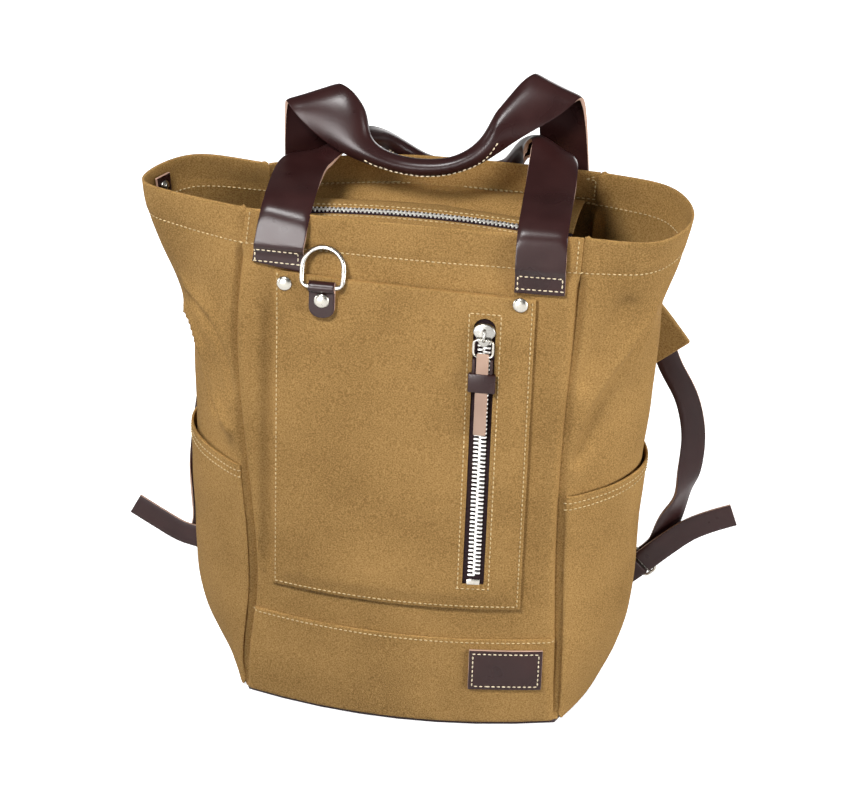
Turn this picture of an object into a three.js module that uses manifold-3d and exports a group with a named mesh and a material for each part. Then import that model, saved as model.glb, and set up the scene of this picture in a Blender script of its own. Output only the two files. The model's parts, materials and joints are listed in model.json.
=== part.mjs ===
// A canvas backpack with a tote mouth, leather carrying handles, a zipped front pocket and shoulder straps.
// Millimetres, +Z up, the front faces -Y, the origin is on the floor under the middle of the base.
import * as THREE from 'three';
import { mergeVertices } from 'three/addons/utils/BufferGeometryUtils.js';
import loadManifold from 'manifold-3d';

const wasm = await loadManifold();
wasm.setup();

// Cloth, leather and clearance
const GAP = 0.35;
const CANVAS = 2;
const LEATHER = 3;
const THIN_LEATHER = 2.2;
const TAPE = 1;
const SEAM_CUT = 0.2;
const WELD = 0.01;

// Body heights
const FOOT = 5;
const BASE_THICKNESS = 6;
const RIM = 434;
const BAND_TOP = 84;
const SIDE_POCKET_TOP = 212;
const SIDE_POCKET_STANDOFF = 2;
const SIDE_POCKET_MARGIN = 0.02;
const BAND_MARGIN = 0.008;
const CLOSURE_SEAT = 407;

// Front pocket
const POCKET = { left: -105.5, right: 95, bottom: 113, top: 387.5, topRight: 383, depth: 6.5 };
const POCKET_ZIP = { x: 57.5, width: 17, bottom: 136, top: 365, teethWidth: 6.5 };
const POCKET_TAPE = { width: 31, overlap: 8 };
const TEETH_HEIGHT = 1.8;
const ZIP_STOP = { width: 10.5, height: 5, thickness: 2 };
const RIVET = { radius: 6, height: 2.2 };
const POCKET_RIVETS = { insetLeft: 8.5, insetRight: 11.5, drop: 9 };

// Ring on its tab
const RING = { x: -67, barZ: 381, wire: 3.8, width: 32, height: 30.5, corner: 4 };
const RING_TAB = { width: 20, foot: 355.5, rivetZ: 370, wrap: 1.1, wrapSteps: 8, taper: 6, narrow: 0.7 };

// Zip pull
const SLIDER = { width: 17, height: 20, corner: 4, thickness: 2.2, axisZ: 349 };
const BRIDGE = { width: 5, foot: 5, top: 3.5, arm: 1.6, eyeLift: 0.05 };
const BAIL = { wire: 2, width: 15, length: 14, corner: 2.5 };
const TAG = { width: 9.5, length: 66, thickness: 2.4, foldEnd: 0.4 };
const KEEPER = { top: 14, height: 15, width: 19, ply: 0.9 };

// Closure zip across the mouth
const CLOSURE = { halfLength: 116, height: 420, middleY: -27, curve: 15 };
const CLOSURE_ZIP = { tapeHalf: 6, teethWidth: 6, slot: 0.4, endInset: 6 };
const CLOSURE_SLIDER = { x: 97, length: 15, width: 9, thickness: 4, corner: 2.5 };

// Straps and handles
const HANDLE_WIDTH = 38;
const GRIP_ROLL = 335;
const ARCH = {
  across: 0.92, back: 0.1, rise: 0.36, lean: 0.15, radius: 10,
  turns: [0, 50, 100, 150], rolls: [0, 10, 20, 40],
};
const STRAP_WIDTH = 20;
const PAD = { width: 43, thickness: 5 };
const BUCKLE = { wire: 3, width: 27, height: 20, corner: 3 };
const SNAP = { turns: [3.345, 3.405], heights: [408, 426], clearance: 1.5, radius: 4.5, thickness: 3 };
const PATCH = { left: 57, right: 115, bottom: 38, top: 75, turn: -1 };

const CANVAS_LOOK = { color: 0xa8864c, roughness: 0.92, metalness: 0 };
const LEATHER_LOOK = { color: 0x3c2826, roughness: 0.5, metalness: 0 };
const TAN_LOOK = { color: 0xb08d72, roughness: 0.8, metalness: 0 };
const TAPE_LOOK = { color: 0x3a2a2c, roughness: 0.9, metalness: 0 };
const METAL_LOOK = { color: 0xc9c9c6, roughness: 0.3, metalness: 1 };

const bag = new THREE.Group();

/** Adds one named piece to the bag, or to a group inside it. */
function add(name, geometry, look, parent = bag) {
  const mesh = new THREE.Mesh(geometry, new THREE.MeshStandardMaterial(look));
  mesh.name = name;
  parent.add(mesh);
  return mesh;
}

/** Turns rows of numbers into rows with named columns. */
function table(columns, rows) {
  return rows.map((row) => Object.fromEntries(columns.map((column, k) => [column, row[k]])));
}

/** Slope of one column of a table at a row. */
function slopeAt(rows, key, column, k) {
  const low = rows[Math.max(k - 1, 0)];
  const high = rows[Math.min(k + 1, rows.length - 1)];
  return (high[column] - low[column]) / (high[key] - low[key]);
}

/** Reads one column of a table on a smooth curve through its rows. */
function smooth(rows, key, column, at) {
  let k = 0;
  while (k < rows.length - 2 && at > rows[k + 1][key]) {
    k += 1;
  }
  const [a, b] = [rows[k], rows[k + 1]];
  const span = b[key] - a[key];
  const t = THREE.MathUtils.clamp((at - a[key]) / span, 0, 1);
  const rise = t * t * (3 - 2 * t);
  const leave = t * (1 - t) * (1 - t) * span * slopeAt(rows, key, column, k);
  const arrive = t * t * (t - 1) * span * slopeAt(rows, key, column, k + 1);
  return a[column] + (b[column] - a[column]) * rise + leave + arrive;
}

/** A closed geometry from points and triangles, with its faces turned outwards. */
function closedGeometry(points, index) {
  let volume = 0;
  for (let k = 0; k < index.length; k += 3) {
    const [a, b, c] = [points[index[k]], points[index[k + 1]], points[index[k + 2]]];
    volume += a.dot(b.clone().cross(c));
  }
  const outward = volume < 0 ? index.map((_, k) => index[k + 2 - 2 * (k % 3)]) : index;
  const geometry = new THREE.BufferGeometry();
  const values = points.flatMap((point) => point.toArray());
  geometry.setAttribute('position', new THREE.Float32BufferAttribute(values, 3));
  geometry.setIndex(outward);
  return geometry;
}

/** A closed sheet between a front face and a back face, each a function of two fractions. */
function sheet(columns, rows, frontPoint, backPoint) {
  const across = columns + 1;
  const layer = across * (rows + 1);
  const points = [];
  for (const face of [frontPoint, backPoint]) {
    for (let row = 0; row <= rows; row += 1) {
      for (let column = 0; column <= columns; column += 1) {
        points.push(face(column / columns, row / rows));
      }
    }
  }
  const index = [];
  const quad = (a, b, c, d) => index.push(a, b, c, a, c, d);
  const wall = (a, b) => quad(b, a, a + layer, b + layer);
  for (let row = 0; row < rows; row += 1) {
    for (let column = 0; column < columns; column += 1) {
      const a = row * across + column;
      quad(a, a + 1, a + 1 + across, a + across);
      quad(a + layer, a + across + layer, a + 1 + across + layer, a + 1 + layer);
    }
  }
  for (let column = 0; column < columns; column += 1) {
    wall(column, column + 1);
    wall(rows * across + column + 1, rows * across + column);
  }
  for (let row = 0; row < rows; row += 1) {
    wall(row * across + columns, (row + 1) * across + columns);
    wall((row + 1) * across, row * across);
  }
  return closedGeometry(points, index);
}

/** A closed solid through rings of points: a loop when it closes on itself, else with flat ends. */
function sweep(rings, closesOnItself) {
  const sides = rings[0].length;
  const spans = closesOnItself ? rings.length : rings.length - 1;
  const index = [];
  for (let ring = 0; ring < spans; ring += 1) {
    const next = (ring + 1) % rings.length;
    for (let side = 0; side < sides; side += 1) {
      const after = (side + 1) % sides;
      const [a, b] = [ring * sides + side, ring * sides + after];
      const [c, d] = [next * sides + after, next * sides + side];
      index.push(a, b, c, a, c, d);
    }
  }
  if (!closesOnItself) {
    const last = (rings.length - 1) * sides;
    for (let side = 1; side < sides - 1; side += 1) {
      index.push(0, side + 1, side, last, last + side, last + side + 1);
    }
  }
  return closedGeometry(rings.flat(), index);
}

/** A round wire bent along a closed outline in the plane of X and Z. */
function wireLoop(outline, steps, wire, sides) {
  const rings = [];
  for (let step = 0; step < steps; step += 1) {
    const centre = outline.getPointAt(step / steps);
    const tangent = outline.getTangentAt(step / steps);
    const ring = [];
    for (let side = 0; side < sides; side += 1) {
      const angle = (2 * Math.PI * side) / sides;
      const out = (wire / 2) * Math.cos(angle);
      const deep = (wire / 2) * Math.sin(angle);
      ring.push(new THREE.Vector3(centre.x + tangent.y * out, deep, centre.y - tangent.x * out));
    }
    rings.push(ring);
  }
  return sweep(rings, true);
}

/** A rounded rectangle's outline around its centre. */
function roundedRectangle(width, height, corner) {
  const [x, y] = [width / 2, height / 2];
  const outline = new THREE.Shape();
  outline.moveTo(-x + corner, -y);
  outline.lineTo(x - corner, -y);
  outline.absarc(x - corner, -y + corner, corner, -Math.PI / 2, 0);
  outline.lineTo(x, y - corner);
  outline.absarc(x - corner, y - corner, corner, 0, Math.PI / 2);
  outline.lineTo(-x + corner, y);
  outline.absarc(-x + corner, y - corner, corner, Math.PI / 2, Math.PI);
  outline.lineTo(-x, -y + corner);
  outline.absarc(-x + corner, -y + corner, corner, Math.PI, 1.5 * Math.PI);
  return outline;
}

/** A solid for joining and cutting. */
function solid(geometry) {
  const bare = geometry.clone();
  bare.deleteAttribute('normal');
  bare.deleteAttribute('uv');
  const merged = mergeVertices(bare, 1e-4);
  return new wasm.Manifold(
    new wasm.Mesh({
      numProp: 3,
      vertProperties: new Float32Array(merged.attributes.position.array),
      triVerts: new Uint32Array(merged.index.array),
    }),
  );
}

/** The geometry of a joined or cut solid. */
function fromSolid(shape) {
  const mesh = shape.getMesh();
  const geometry = new THREE.BufferGeometry();
  geometry.setAttribute('position', new THREE.BufferAttribute(new Float32Array(mesh.vertProperties), 3));
  geometry.setIndex(new THREE.BufferAttribute(new Uint32Array(mesh.triVerts), 1));
  return geometry;
}

/** A box between two corners. */
function boxBetween(low, high) {
  const size = high.clone().sub(low);
  const middle = low.clone().add(high).multiplyScalar(0.5);
  return new THREE.BoxGeometry(size.x, size.y, size.z).translate(middle.x, middle.y, middle.z);
}

// The body's outer loop: a row for each height. front and back are the panels' Y at their right seams, bulge
// is how far the front swells, reach is how far a gusset stands out past its seam, tip is that point's Y,
// and frontOut and backOut are how full the gusset is before and behind it.
const SECTIONS = table(
  [
    'z', 'front', 'bulge', 'back', 'backLeft', 'seamLeft', 'seamRight',
    'reachLeft', 'tipLeft', 'frontOutLeft', 'backOutLeft',
    'reachRight', 'tipRight', 'frontOutRight', 'backOutRight',
  ],
  [
    [5, -73, 20, 73, 73, -129, 128, 25, 12, 3, 8, 25, 15, 4, 8],
    [32, -74, 20, 76, 76, -129.5, 126.5, 48, 10, 6, 13, 39.5, 12, 7, 13],
    [84, -74, 19, 77, 77, -123.5, 125.5, 60.5, 6, 9, 17, 50, 8, 9, 17],
    [120, -74, 17, 77, 77, -122.5, 123.5, 62, 3, 9, 18, 51.5, 6, 9, 18],
    [170, -74, 13, 77, 77, -126, 122, 59, 0, 9, 18, 54.5, 4, 9, 18],
    [230, -74, 9, 76, 76, -132, 121.5, 53.5, 0, 9, 18, 58.5, 2, 10, 18],
    [300, -74, 6, 74, 73, -137.5, 123.5, 53, -4, 8, 19, 63, 0, 12, 18],
    [350, -73, 4, 69, 60, -138, 126, 63, -12, 6, 22, 62, -4, 17, 20],
    [392, -72, 3, 62, 39, -133.5, 126.5, 81, -27, 5, 30, 71, -11, 23, 23],
    [434, -71, 4, 54, 15, -129, 128, 90, -38, 4, 37, 78, -16, 29, 26],
  ],
);

// The gussets' folds, from one end to the other: along is the share of the gusset's width behind its front
// seam.
const FOLDS = table(
  ['side', 'along', 'z', 'alongEnd', 'zEnd', 'depth', 'width'],
  [
    ['right', 0.5, 352, 0.06, 238, 7, 14],
    ['right', 0.62, 300, 0.3, 262, 3, 14],
    ['left', 0.48, 335, 0.08, 285, 6, 13],
    ['left', 0.5, 300, 0.1, 236, 5, 14],
  ],
);
const GUSSET_WIDTH = 215;
const BACK_BULGE = 4;

/** Distance in a gusset's flat cloth from a point to a fold's line. */
function foldDistance(fold, along, z) {
  const start = new THREE.Vector3(fold.along * GUSSET_WIDTH, fold.z, 0);
  const end = new THREE.Vector3(fold.alongEnd * GUSSET_WIDTH, fold.zEnd, 0);
  const point = new THREE.Vector3(along * GUSSET_WIDTH, z, 0);
  return new THREE.Line3(start, end).closestPointToPoint(point, true, new THREE.Vector3()).distanceTo(point);
}

/** How far the folds draw a gusset's cloth in. */
function foldDepth(side, along, z) {
  const depths = FOLDS.filter((fold) => fold.side === side).map(
    (fold) => fold.depth * Math.exp(-((foldDistance(fold, along, z) / fold.width) ** 2)),
  );
  return depths.reduce((sum, depth) => sum + depth, 0) * Math.sin(Math.PI * along) ** 0.5;
}

/** The point half way between a seam and a gusset's tip, pushed out square to that line. */
function shoulder(seam, tip, out, centre) {
  const middle = seam.clone().add(tip).multiplyScalar(0.5);
  const chord = tip.clone().sub(seam).normalize();
  const square = new THREE.Vector3(chord.y, -chord.x, 0);
  const outward = square.dot(middle.clone().sub(centre)) < 0 ? -1 : 1;
  return middle.addScaledVector(square, out * outward);
}

/** A gusset's outline at a height, from its front seam to its back seam. */
function gussetOutline(side, z) {
  const read = (column) => smooth(SECTIONS, 'z', column, z);
  const sign = side === 'Right' ? 1 : -1;
  const seamX = read(`seam${side}`);
  const backY = side === 'Right' ? read('back') : read('backLeft');
  const front = new THREE.Vector3(seamX, read('front'), 0);
  const back = new THREE.Vector3(seamX, backY, 0);
  const tip = new THREE.Vector3(seamX + sign * read(`reach${side}`), read(`tip${side}`), 0);
  const centre = new THREE.Vector3(0, tip.y, 0);
  const points = [
    front,
    shoulder(front, tip, read(`frontOut${side}`), centre),
    tip,
    shoulder(back, tip, read(`backOut${side}`), centre),
    back,
  ];
  return new THREE.CatmullRomCurve3(points, false, 'centripetal');
}

/** Y of the front panel's outer face. */
function frontY(x, z) {
  const read = (column) => smooth(SECTIONS, 'z', column, z);
  const share = (x - read('seamLeft')) / (read('seamRight') - read('seamLeft'));
  return read('front') - read('bulge') * (1 - (2 * share - 1) ** 2);
}

/** Y of the back panel's outer face, which is drawn forward towards its left seam. */
function backY(x, z) {
  const read = (column) => smooth(SECTIONS, 'z', column, z);
  const share = (read('seamRight') - x) / (read('seamRight') - read('seamLeft'));
  const pinch = Math.max(2 * share - 1, 0) ** 2;
  return read('back') - (read('back') - read('backLeft')) * pinch + BACK_BULGE * (1 - (2 * share - 1) ** 2);
}

/** Outer point of the body: turn runs 0 to 4, a unit each for front, right gusset, back and left gusset. */
function bodyPoint(turn, z) {
  const around = THREE.MathUtils.euclideanModulo(turn, 4);
  const wall = Math.floor(around);
  const share = around - wall;
  const left = smooth(SECTIONS, 'z', 'seamLeft', z);
  const right = smooth(SECTIONS, 'z', 'seamRight', z);
  if (wall === 0 || wall === 2) {
    const x = wall === 0 ? left + (right - left) * share : right + (left - right) * share;
    return new THREE.Vector3(x, wall === 0 ? frontY(x, z) : backY(x, z), z);
  }
  const side = wall === 1 ? 'Right' : 'Left';
  const along = wall === 1 ? share : 1 - share;
  const outline = gussetOutline(side, z);
  const point = outline.getPoint(along).setZ(z);
  const tangent = outline.getTangent(along);
  const inward = new THREE.Vector3(-tangent.y, tangent.x, 0).multiplyScalar(wall === 1 ? 1 : -1);
  return point.addScaledVector(inward, foldDepth(side.toLowerCase(), along, z));
}

const TURN_STEP = 0.014;
const HEIGHT_STEP = 3;

/** Outward direction of the body's cloth. */
function bodyNormal(turn, z) {
  const around = bodyPoint(turn + TURN_STEP, z).sub(bodyPoint(turn - TURN_STEP, z));
  const low = Math.max(z - HEIGHT_STEP, FOOT);
  const high = Math.min(z + HEIGHT_STEP, RIM);
  const up = bodyPoint(turn, high).sub(bodyPoint(turn, low));
  return around.cross(up).normalize();
}

/** A point over the body's cloth, at a distance outside it. */
function overBody(turn, z, distance) {
  return bodyPoint(turn, z).addScaledVector(bodyNormal(turn, z), distance);
}

/** A sheet following the body between two turns and two heights, from one distance outside it to another. */
function bodySheet(turns, heights, inner, outer, columns, rows) {
  const face = (distance) => (u, v) => {
    const turn = THREE.MathUtils.lerp(turns[0], turns[1], u);
    const z = THREE.MathUtils.lerp(heights[0], heights[1], v);
    return overBody(turn, z, typeof distance === 'function' ? distance(u, v) : distance);
  };
  return sheet(columns, rows, face(outer), face(inner));
}

const PANEL_COLUMNS = 8;
const GUSSET_COLUMNS = 12;
const BODY_ROWS = 15;
const BAND_ROWS = 4;

// The four walls: turn is where each starts round the body.
const WALLS = table(
  ['name', 'turn', 'columns'],
  [
    ['front_panel', 0, PANEL_COLUMNS],
    ['right_gusset', 1, GUSSET_COLUMNS],
    ['back_panel', 2, PANEL_COLUMNS],
    ['left_gusset', 3, GUSSET_COLUMNS],
  ],
);

/** The four walls of the bag. */
function buildWalls() {
  const cut = SEAM_CUT / GUSSET_WIDTH;
  for (const wall of WALLS) {
    const turns = [wall.turn + cut, wall.turn + 1 - cut];
    add(wall.name, bodySheet(turns, [FOOT, RIM], -CANVAS, 0, wall.columns, BODY_ROWS), CANVAS_LOOK);
  }
}

/** The stiff leather base, set in from the walls, and the band across the foot of the front. */
function buildBase() {
  const outline = [];
  for (const wall of WALLS) {
    for (let column = 0; column < wall.columns; column += 1) {
      const point = overBody(wall.turn + column / wall.columns, FOOT, -CANVAS - 2 * GAP);
      outline.push(new THREE.Vector2(point.x, point.y));
    }
  }
  const flat = { depth: BASE_THICKNESS, bevelEnabled: false };
  add('base_panel', new THREE.ExtrudeGeometry(new THREE.Shape(outline), flat), LEATHER_LOOK);
  const turns = [BAND_MARGIN, 1 - BAND_MARGIN];
  const band = bodySheet(turns, [FOOT, BAND_TOP], GAP, GAP + CANVAS, PANEL_COLUMNS, BAND_ROWS);
  add('base_band', band, CANVAS_LOOK);
}

/** The open pockets on the gussets, which stand off the cloth at their hems. */
function buildSidePockets() {
  const rowHeight = (RIM - FOOT) / BODY_ROWS;
  const rows = Math.ceil((SIDE_POCKET_TOP - FOOT) / rowHeight);
  const seat = 2.6 * GAP;
  for (const [name, turn] of [['right_side_pocket', 1], ['left_side_pocket', 3]]) {
    const face = (distance) => (u, v) => {
      const z = Math.min(FOOT + v * rows * rowHeight, SIDE_POCKET_TOP);
      const rise = (z - FOOT) / (SIDE_POCKET_TOP - FOOT);
      const standoff = seat + SIDE_POCKET_STANDOFF * Math.sin(Math.PI * u) * rise ** 3;
      const share = THREE.MathUtils.lerp(SIDE_POCKET_MARGIN, 1 - SIDE_POCKET_MARGIN, u);
      return overBody(turn + share, z, standoff + distance);
    };
    add(name, sheet(GUSSET_COLUMNS, rows, face(CANVAS), face(0)), CANVAS_LOOK);
  }
}

/** A point in front of the front panel. */
function beforeFront(x, z, offset) {
  return new THREE.Vector3(x, frontY(x, z) - offset, z);
}

/** A block that follows the front panel between two corners, from one offset to another before it. */
function frontBlock(box, inner, outer, columns, rows) {
  const face = (offset) => (u, v) => {
    const x = THREE.MathUtils.lerp(box.left, box.right, u);
    const top = THREE.MathUtils.lerp(box.top, box.topRight ?? box.top, u);
    return beforeFront(x, THREE.MathUtils.lerp(box.bottom, top, v), offset);
  };
  return sheet(columns, rows, face(outer), face(inner));
}

const POCKET_COLUMNS = 6;
const POCKET_ROWS = 7;

/** The front pocket: a shallow tray open at its top, with a window for its zip. */
function buildPocket() {
  const cutter = 10;
  const hollow = {
    left: POCKET.left + CANVAS,
    right: POCKET.right - CANVAS,
    bottom: POCKET.bottom + CANVAS,
    top: POCKET.top + cutter,
  };
  const { x: zipX, width, bottom, top } = POCKET_ZIP;
  const window = { left: zipX - width / 2, right: zipX + width / 2, bottom, top };
  const tray = solid(frontBlock(POCKET, GAP, POCKET.depth, POCKET_COLUMNS, POCKET_ROWS))
    .subtract(solid(frontBlock(hollow, -cutter, POCKET.depth - CANVAS, POCKET_COLUMNS, POCKET_ROWS)))
    .subtract(solid(frontBlock(window, 0, POCKET.depth + cutter, 1, 1)));
  add('pocket_panel', fromSolid(tray), CANVAS_LOOK);
  for (const [name, x] of [
    ['pocket_rivet_left', POCKET.left + POCKET_RIVETS.insetLeft],
    ['pocket_rivet_right', POCKET.right - POCKET_RIVETS.insetRight],
  ]) {
    addRivet(name, beforeFront(x, POCKET.top - POCKET_RIVETS.drop, POCKET.depth + 1.5 * GAP));
  }
}

/** A domed rivet head facing forward. */
function addRivet(name, seat) {
  const { radius, height } = RIVET;
  const profile = [
    new THREE.Vector2(0, 0),
    new THREE.Vector2(radius, 0),
    new THREE.Vector2(radius * 0.93, height * 0.55),
    new THREE.Vector2(radius * 0.6, height * 0.93),
    new THREE.Vector2(0, height),
  ];
  const rivet = add(name, new THREE.LatheGeometry(profile, 14), METAL_LOOK);
  rivet.rotation.x = Math.PI;
  rivet.position.copy(seat);
}

/** The pocket's zip: tape behind the window, teeth on the tape, and the stop at the foot. */
function buildPocketZip() {
  const zip = POCKET_ZIP;
  const rows = 8;
  const strip = (width, bottom, top) => ({ left: zip.x - width / 2, right: zip.x + width / 2, bottom, top });
  const tapeFace = POCKET.depth - CANVAS - GAP;
  const tapeBox = strip(POCKET_TAPE.width, zip.bottom - POCKET_TAPE.overlap, zip.top + POCKET_TAPE.overlap);
  add('pocket_zip_tape', frontBlock(tapeBox, tapeFace - TAPE, tapeFace, 2, rows), TAPE_LOOK);
  const seat = tapeFace + GAP;
  const stopTop = zip.bottom + ZIP_STOP.height;
  const teethBox = strip(zip.teethWidth, stopTop + GAP, zip.top - GAP);
  add('pocket_zip_teeth', frontBlock(teethBox, seat, seat + TEETH_HEIGHT, 1, rows), METAL_LOOK);
  const stopBox = strip(ZIP_STOP.width, zip.bottom + GAP, stopTop);
  add('pocket_zip_stop', frontBlock(stopBox, seat, seat + ZIP_STOP.thickness, 1, 1), METAL_LOOK);
}

/** A shape drawn forward and up, made into a block along X about the middle. */
function alongX(shape, width) {
  const block = new THREE.ExtrudeGeometry(shape, { depth: width, bevelEnabled: false, curveSegments: 10 });
  const turned = new THREE.Matrix4().makeBasis(
    new THREE.Vector3(0, -1, 0),
    new THREE.Vector3(0, 0, 1),
    new THREE.Vector3(-1, 0, 0),
  );
  return block.translate(0, 0, -width / 2).applyMatrix4(turned);
}

/** The slider's plate, its back at Y = 0, with the bridge that carries the bail. */
function sliderShape() {
  const plate = new THREE.ExtrudeGeometry(roundedRectangle(SLIDER.width, SLIDER.height, SLIDER.corner), {
    depth: SLIDER.thickness,
    bevelEnabled: false,
    curveSegments: 4,
  });
  plate.rotateX(Math.PI / 2);
  const hole = BAIL.wire / 2 + GAP;
  const tall = 2 * hole + BRIDGE.arm;
  const bridge = new THREE.Shape();
  bridge.moveTo(0, -BRIDGE.foot);
  bridge.lineTo(tall, -BRIDGE.top);
  bridge.lineTo(tall, BRIDGE.top);
  bridge.lineTo(0, BRIDGE.foot);
  bridge.closePath();
  const eye = new THREE.Path();
  eye.absarc(hole + BRIDGE.eyeLift, 0, hole, 0, 2 * Math.PI, true);
  bridge.holes.push(eye);
  const arch = alongX(bridge, BRIDGE.width).translate(0, WELD - SLIDER.thickness, 0);
  return fromSolid(solid(plate).add(solid(arch)));
}

/** The leather strip folded over the bail, with the keeper round it; the fold's eye is at the origin. */
function tagShape() {
  const eye = BAIL.wire / 2 + GAP;
  const half = TAG.thickness / 2;
  const fold = eye + half;
  const side = new THREE.Shape();
  side.moveTo(-half, -TAG.length);
  side.lineTo(half, -TAG.length);
  side.lineTo(half, -2 * fold);
  side.absarc(0, 0, fold, -TAG.foldEnd, Math.PI + TAG.foldEnd);
  side.lineTo(-half, -2 * fold);
  side.closePath();
  const hole = new THREE.Path();
  hole.absarc(0, 0, eye, 0, 2 * Math.PI, true);
  side.holes.push(hole);
  const keeperHalf = new THREE.Vector3(KEEPER.width / 2, half + KEEPER.ply, KEEPER.height / 2);
  const keeper = boxBetween(keeperHalf.clone().negate(), keeperHalf);
  keeper.translate(0, 0, -KEEPER.top - KEEPER.height / 2);
  return fromSolid(solid(alongX(side, TAG.width)).add(solid(keeper)));
}

/** The zip's slider, and the bail and leather tag that swing on it. */
function buildZipPull() {
  const faceAt = (z) => frontY(POCKET_ZIP.x, z) - POCKET.depth;
  const lean = Math.atan2(faceAt(SLIDER.axisZ) - faceAt(SLIDER.axisZ - TAG.length), TAG.length);
  const head = new THREE.Group();
  head.position.set(POCKET_ZIP.x, faceAt(SLIDER.axisZ) - GAP, SLIDER.axisZ);
  head.rotation.x = -lean;
  bag.add(head);
  add('pocket_zip_slider', sliderShape(), METAL_LOOK, head);
  const pull = new THREE.Group();
  pull.position.y = -SLIDER.thickness - BAIL.wire / 2 - GAP - BRIDGE.eyeLift;
  head.add(pull);
  const loop = wireLoop(roundedRectangle(BAIL.width, BAIL.length, BAIL.corner), 20, BAIL.wire, 6);
  add('pull_bail', loop.translate(0, 0, -BAIL.length / 2), METAL_LOOK, pull);
  add('pull_tag', tagShape(), TAN_LOOK, pull).position.z = -BAIL.length;
}

/** The ring and the folded leather tab that holds it on the pocket. */
function buildRing() {
  const seatY = (z) => frontY(RING.x, z) - POCKET.depth - 2 * GAP;
  const ply = THIN_LEATHER;
  const turnRadius = RING.wire / 2 + GAP + ply / 2;
  const barY = seatY(RING.barZ) - ply / 2 - turnRadius;
  const frontPly = (z) => seatY(z) - 1.5 * ply - GAP;
  const path = [
    new THREE.Vector2(seatY(RING_TAB.foot) - ply / 2, RING_TAB.foot),
    new THREE.Vector2(seatY(RING_TAB.foot + RING_TAB.taper) - ply / 2, RING_TAB.foot + RING_TAB.taper),
  ];
  for (let step = 0; step <= RING_TAB.wrapSteps; step += 1) {
    const angle = ((Math.PI + RING_TAB.wrap) * step) / RING_TAB.wrapSteps;
    const [forward, up] = [turnRadius * Math.cos(angle), turnRadius * Math.sin(angle)];
    path.push(new THREE.Vector2(barY + forward, RING.barZ + up));
  }
  for (const z of [RING.barZ - RING.wire - GAP, RING_TAB.foot + RING_TAB.taper, RING_TAB.foot]) {
    path.push(new THREE.Vector2(frontPly(z), z));
  }
  const rows = path.length - 1;
  const face = (side) => (u, v) => {
    const k = Math.round(v * rows);
    const along = path[Math.min(k + 1, rows)].clone().sub(path[Math.max(k - 1, 0)]).normalize();
    const narrow = k === rows || k === 0 ? RING_TAB.narrow : 1;
    const x = RING.x + (u - 0.5) * RING_TAB.width * narrow;
    const out = along.multiplyScalar((side * ply) / 2);
    return new THREE.Vector3(x, path[k].x + out.y, path[k].y - out.x);
  };
  add('ring_tab', sheet(1, rows, face(1), face(-1)), LEATHER_LOOK);
  const rivetSeat = new THREE.Vector3(RING.x, frontPly(RING_TAB.rivetZ) - ply / 2 - GAP, RING_TAB.rivetZ);
  addRivet('tab_rivet', rivetSeat);

  const [half, corner] = [RING.width / 2, RING.corner];
  const outline = new THREE.Path();
  outline.moveTo(-half + corner, 0);
  outline.lineTo(half - corner, 0);
  outline.absarc(half - corner, corner, corner, -Math.PI / 2, 0);
  outline.lineTo(half, RING.height - half);
  outline.absarc(0, RING.height - half, half, 0, Math.PI);
  outline.lineTo(-half, corner);
  outline.absarc(-half + corner, corner, corner, Math.PI, 1.5 * Math.PI);
  const ring = add('d_ring', wireLoop(outline, 28, RING.wire, 6), METAL_LOOK);
  const topZ = RING.barZ + RING.height;
  const topY = frontY(RING.x, topZ) - RING.wire / 2 - 2 * GAP;
  ring.position.set(RING.x, barY, RING.barZ);
  ring.rotation.x = -Math.atan2(topY - barY, RING.height);
}

/** Y of the closure zip, which bows back in the middle. */
function closureY(x) {
  return CLOSURE.middleY - CLOSURE.curve * (x / CLOSURE.halfLength) ** 2;
}

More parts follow.
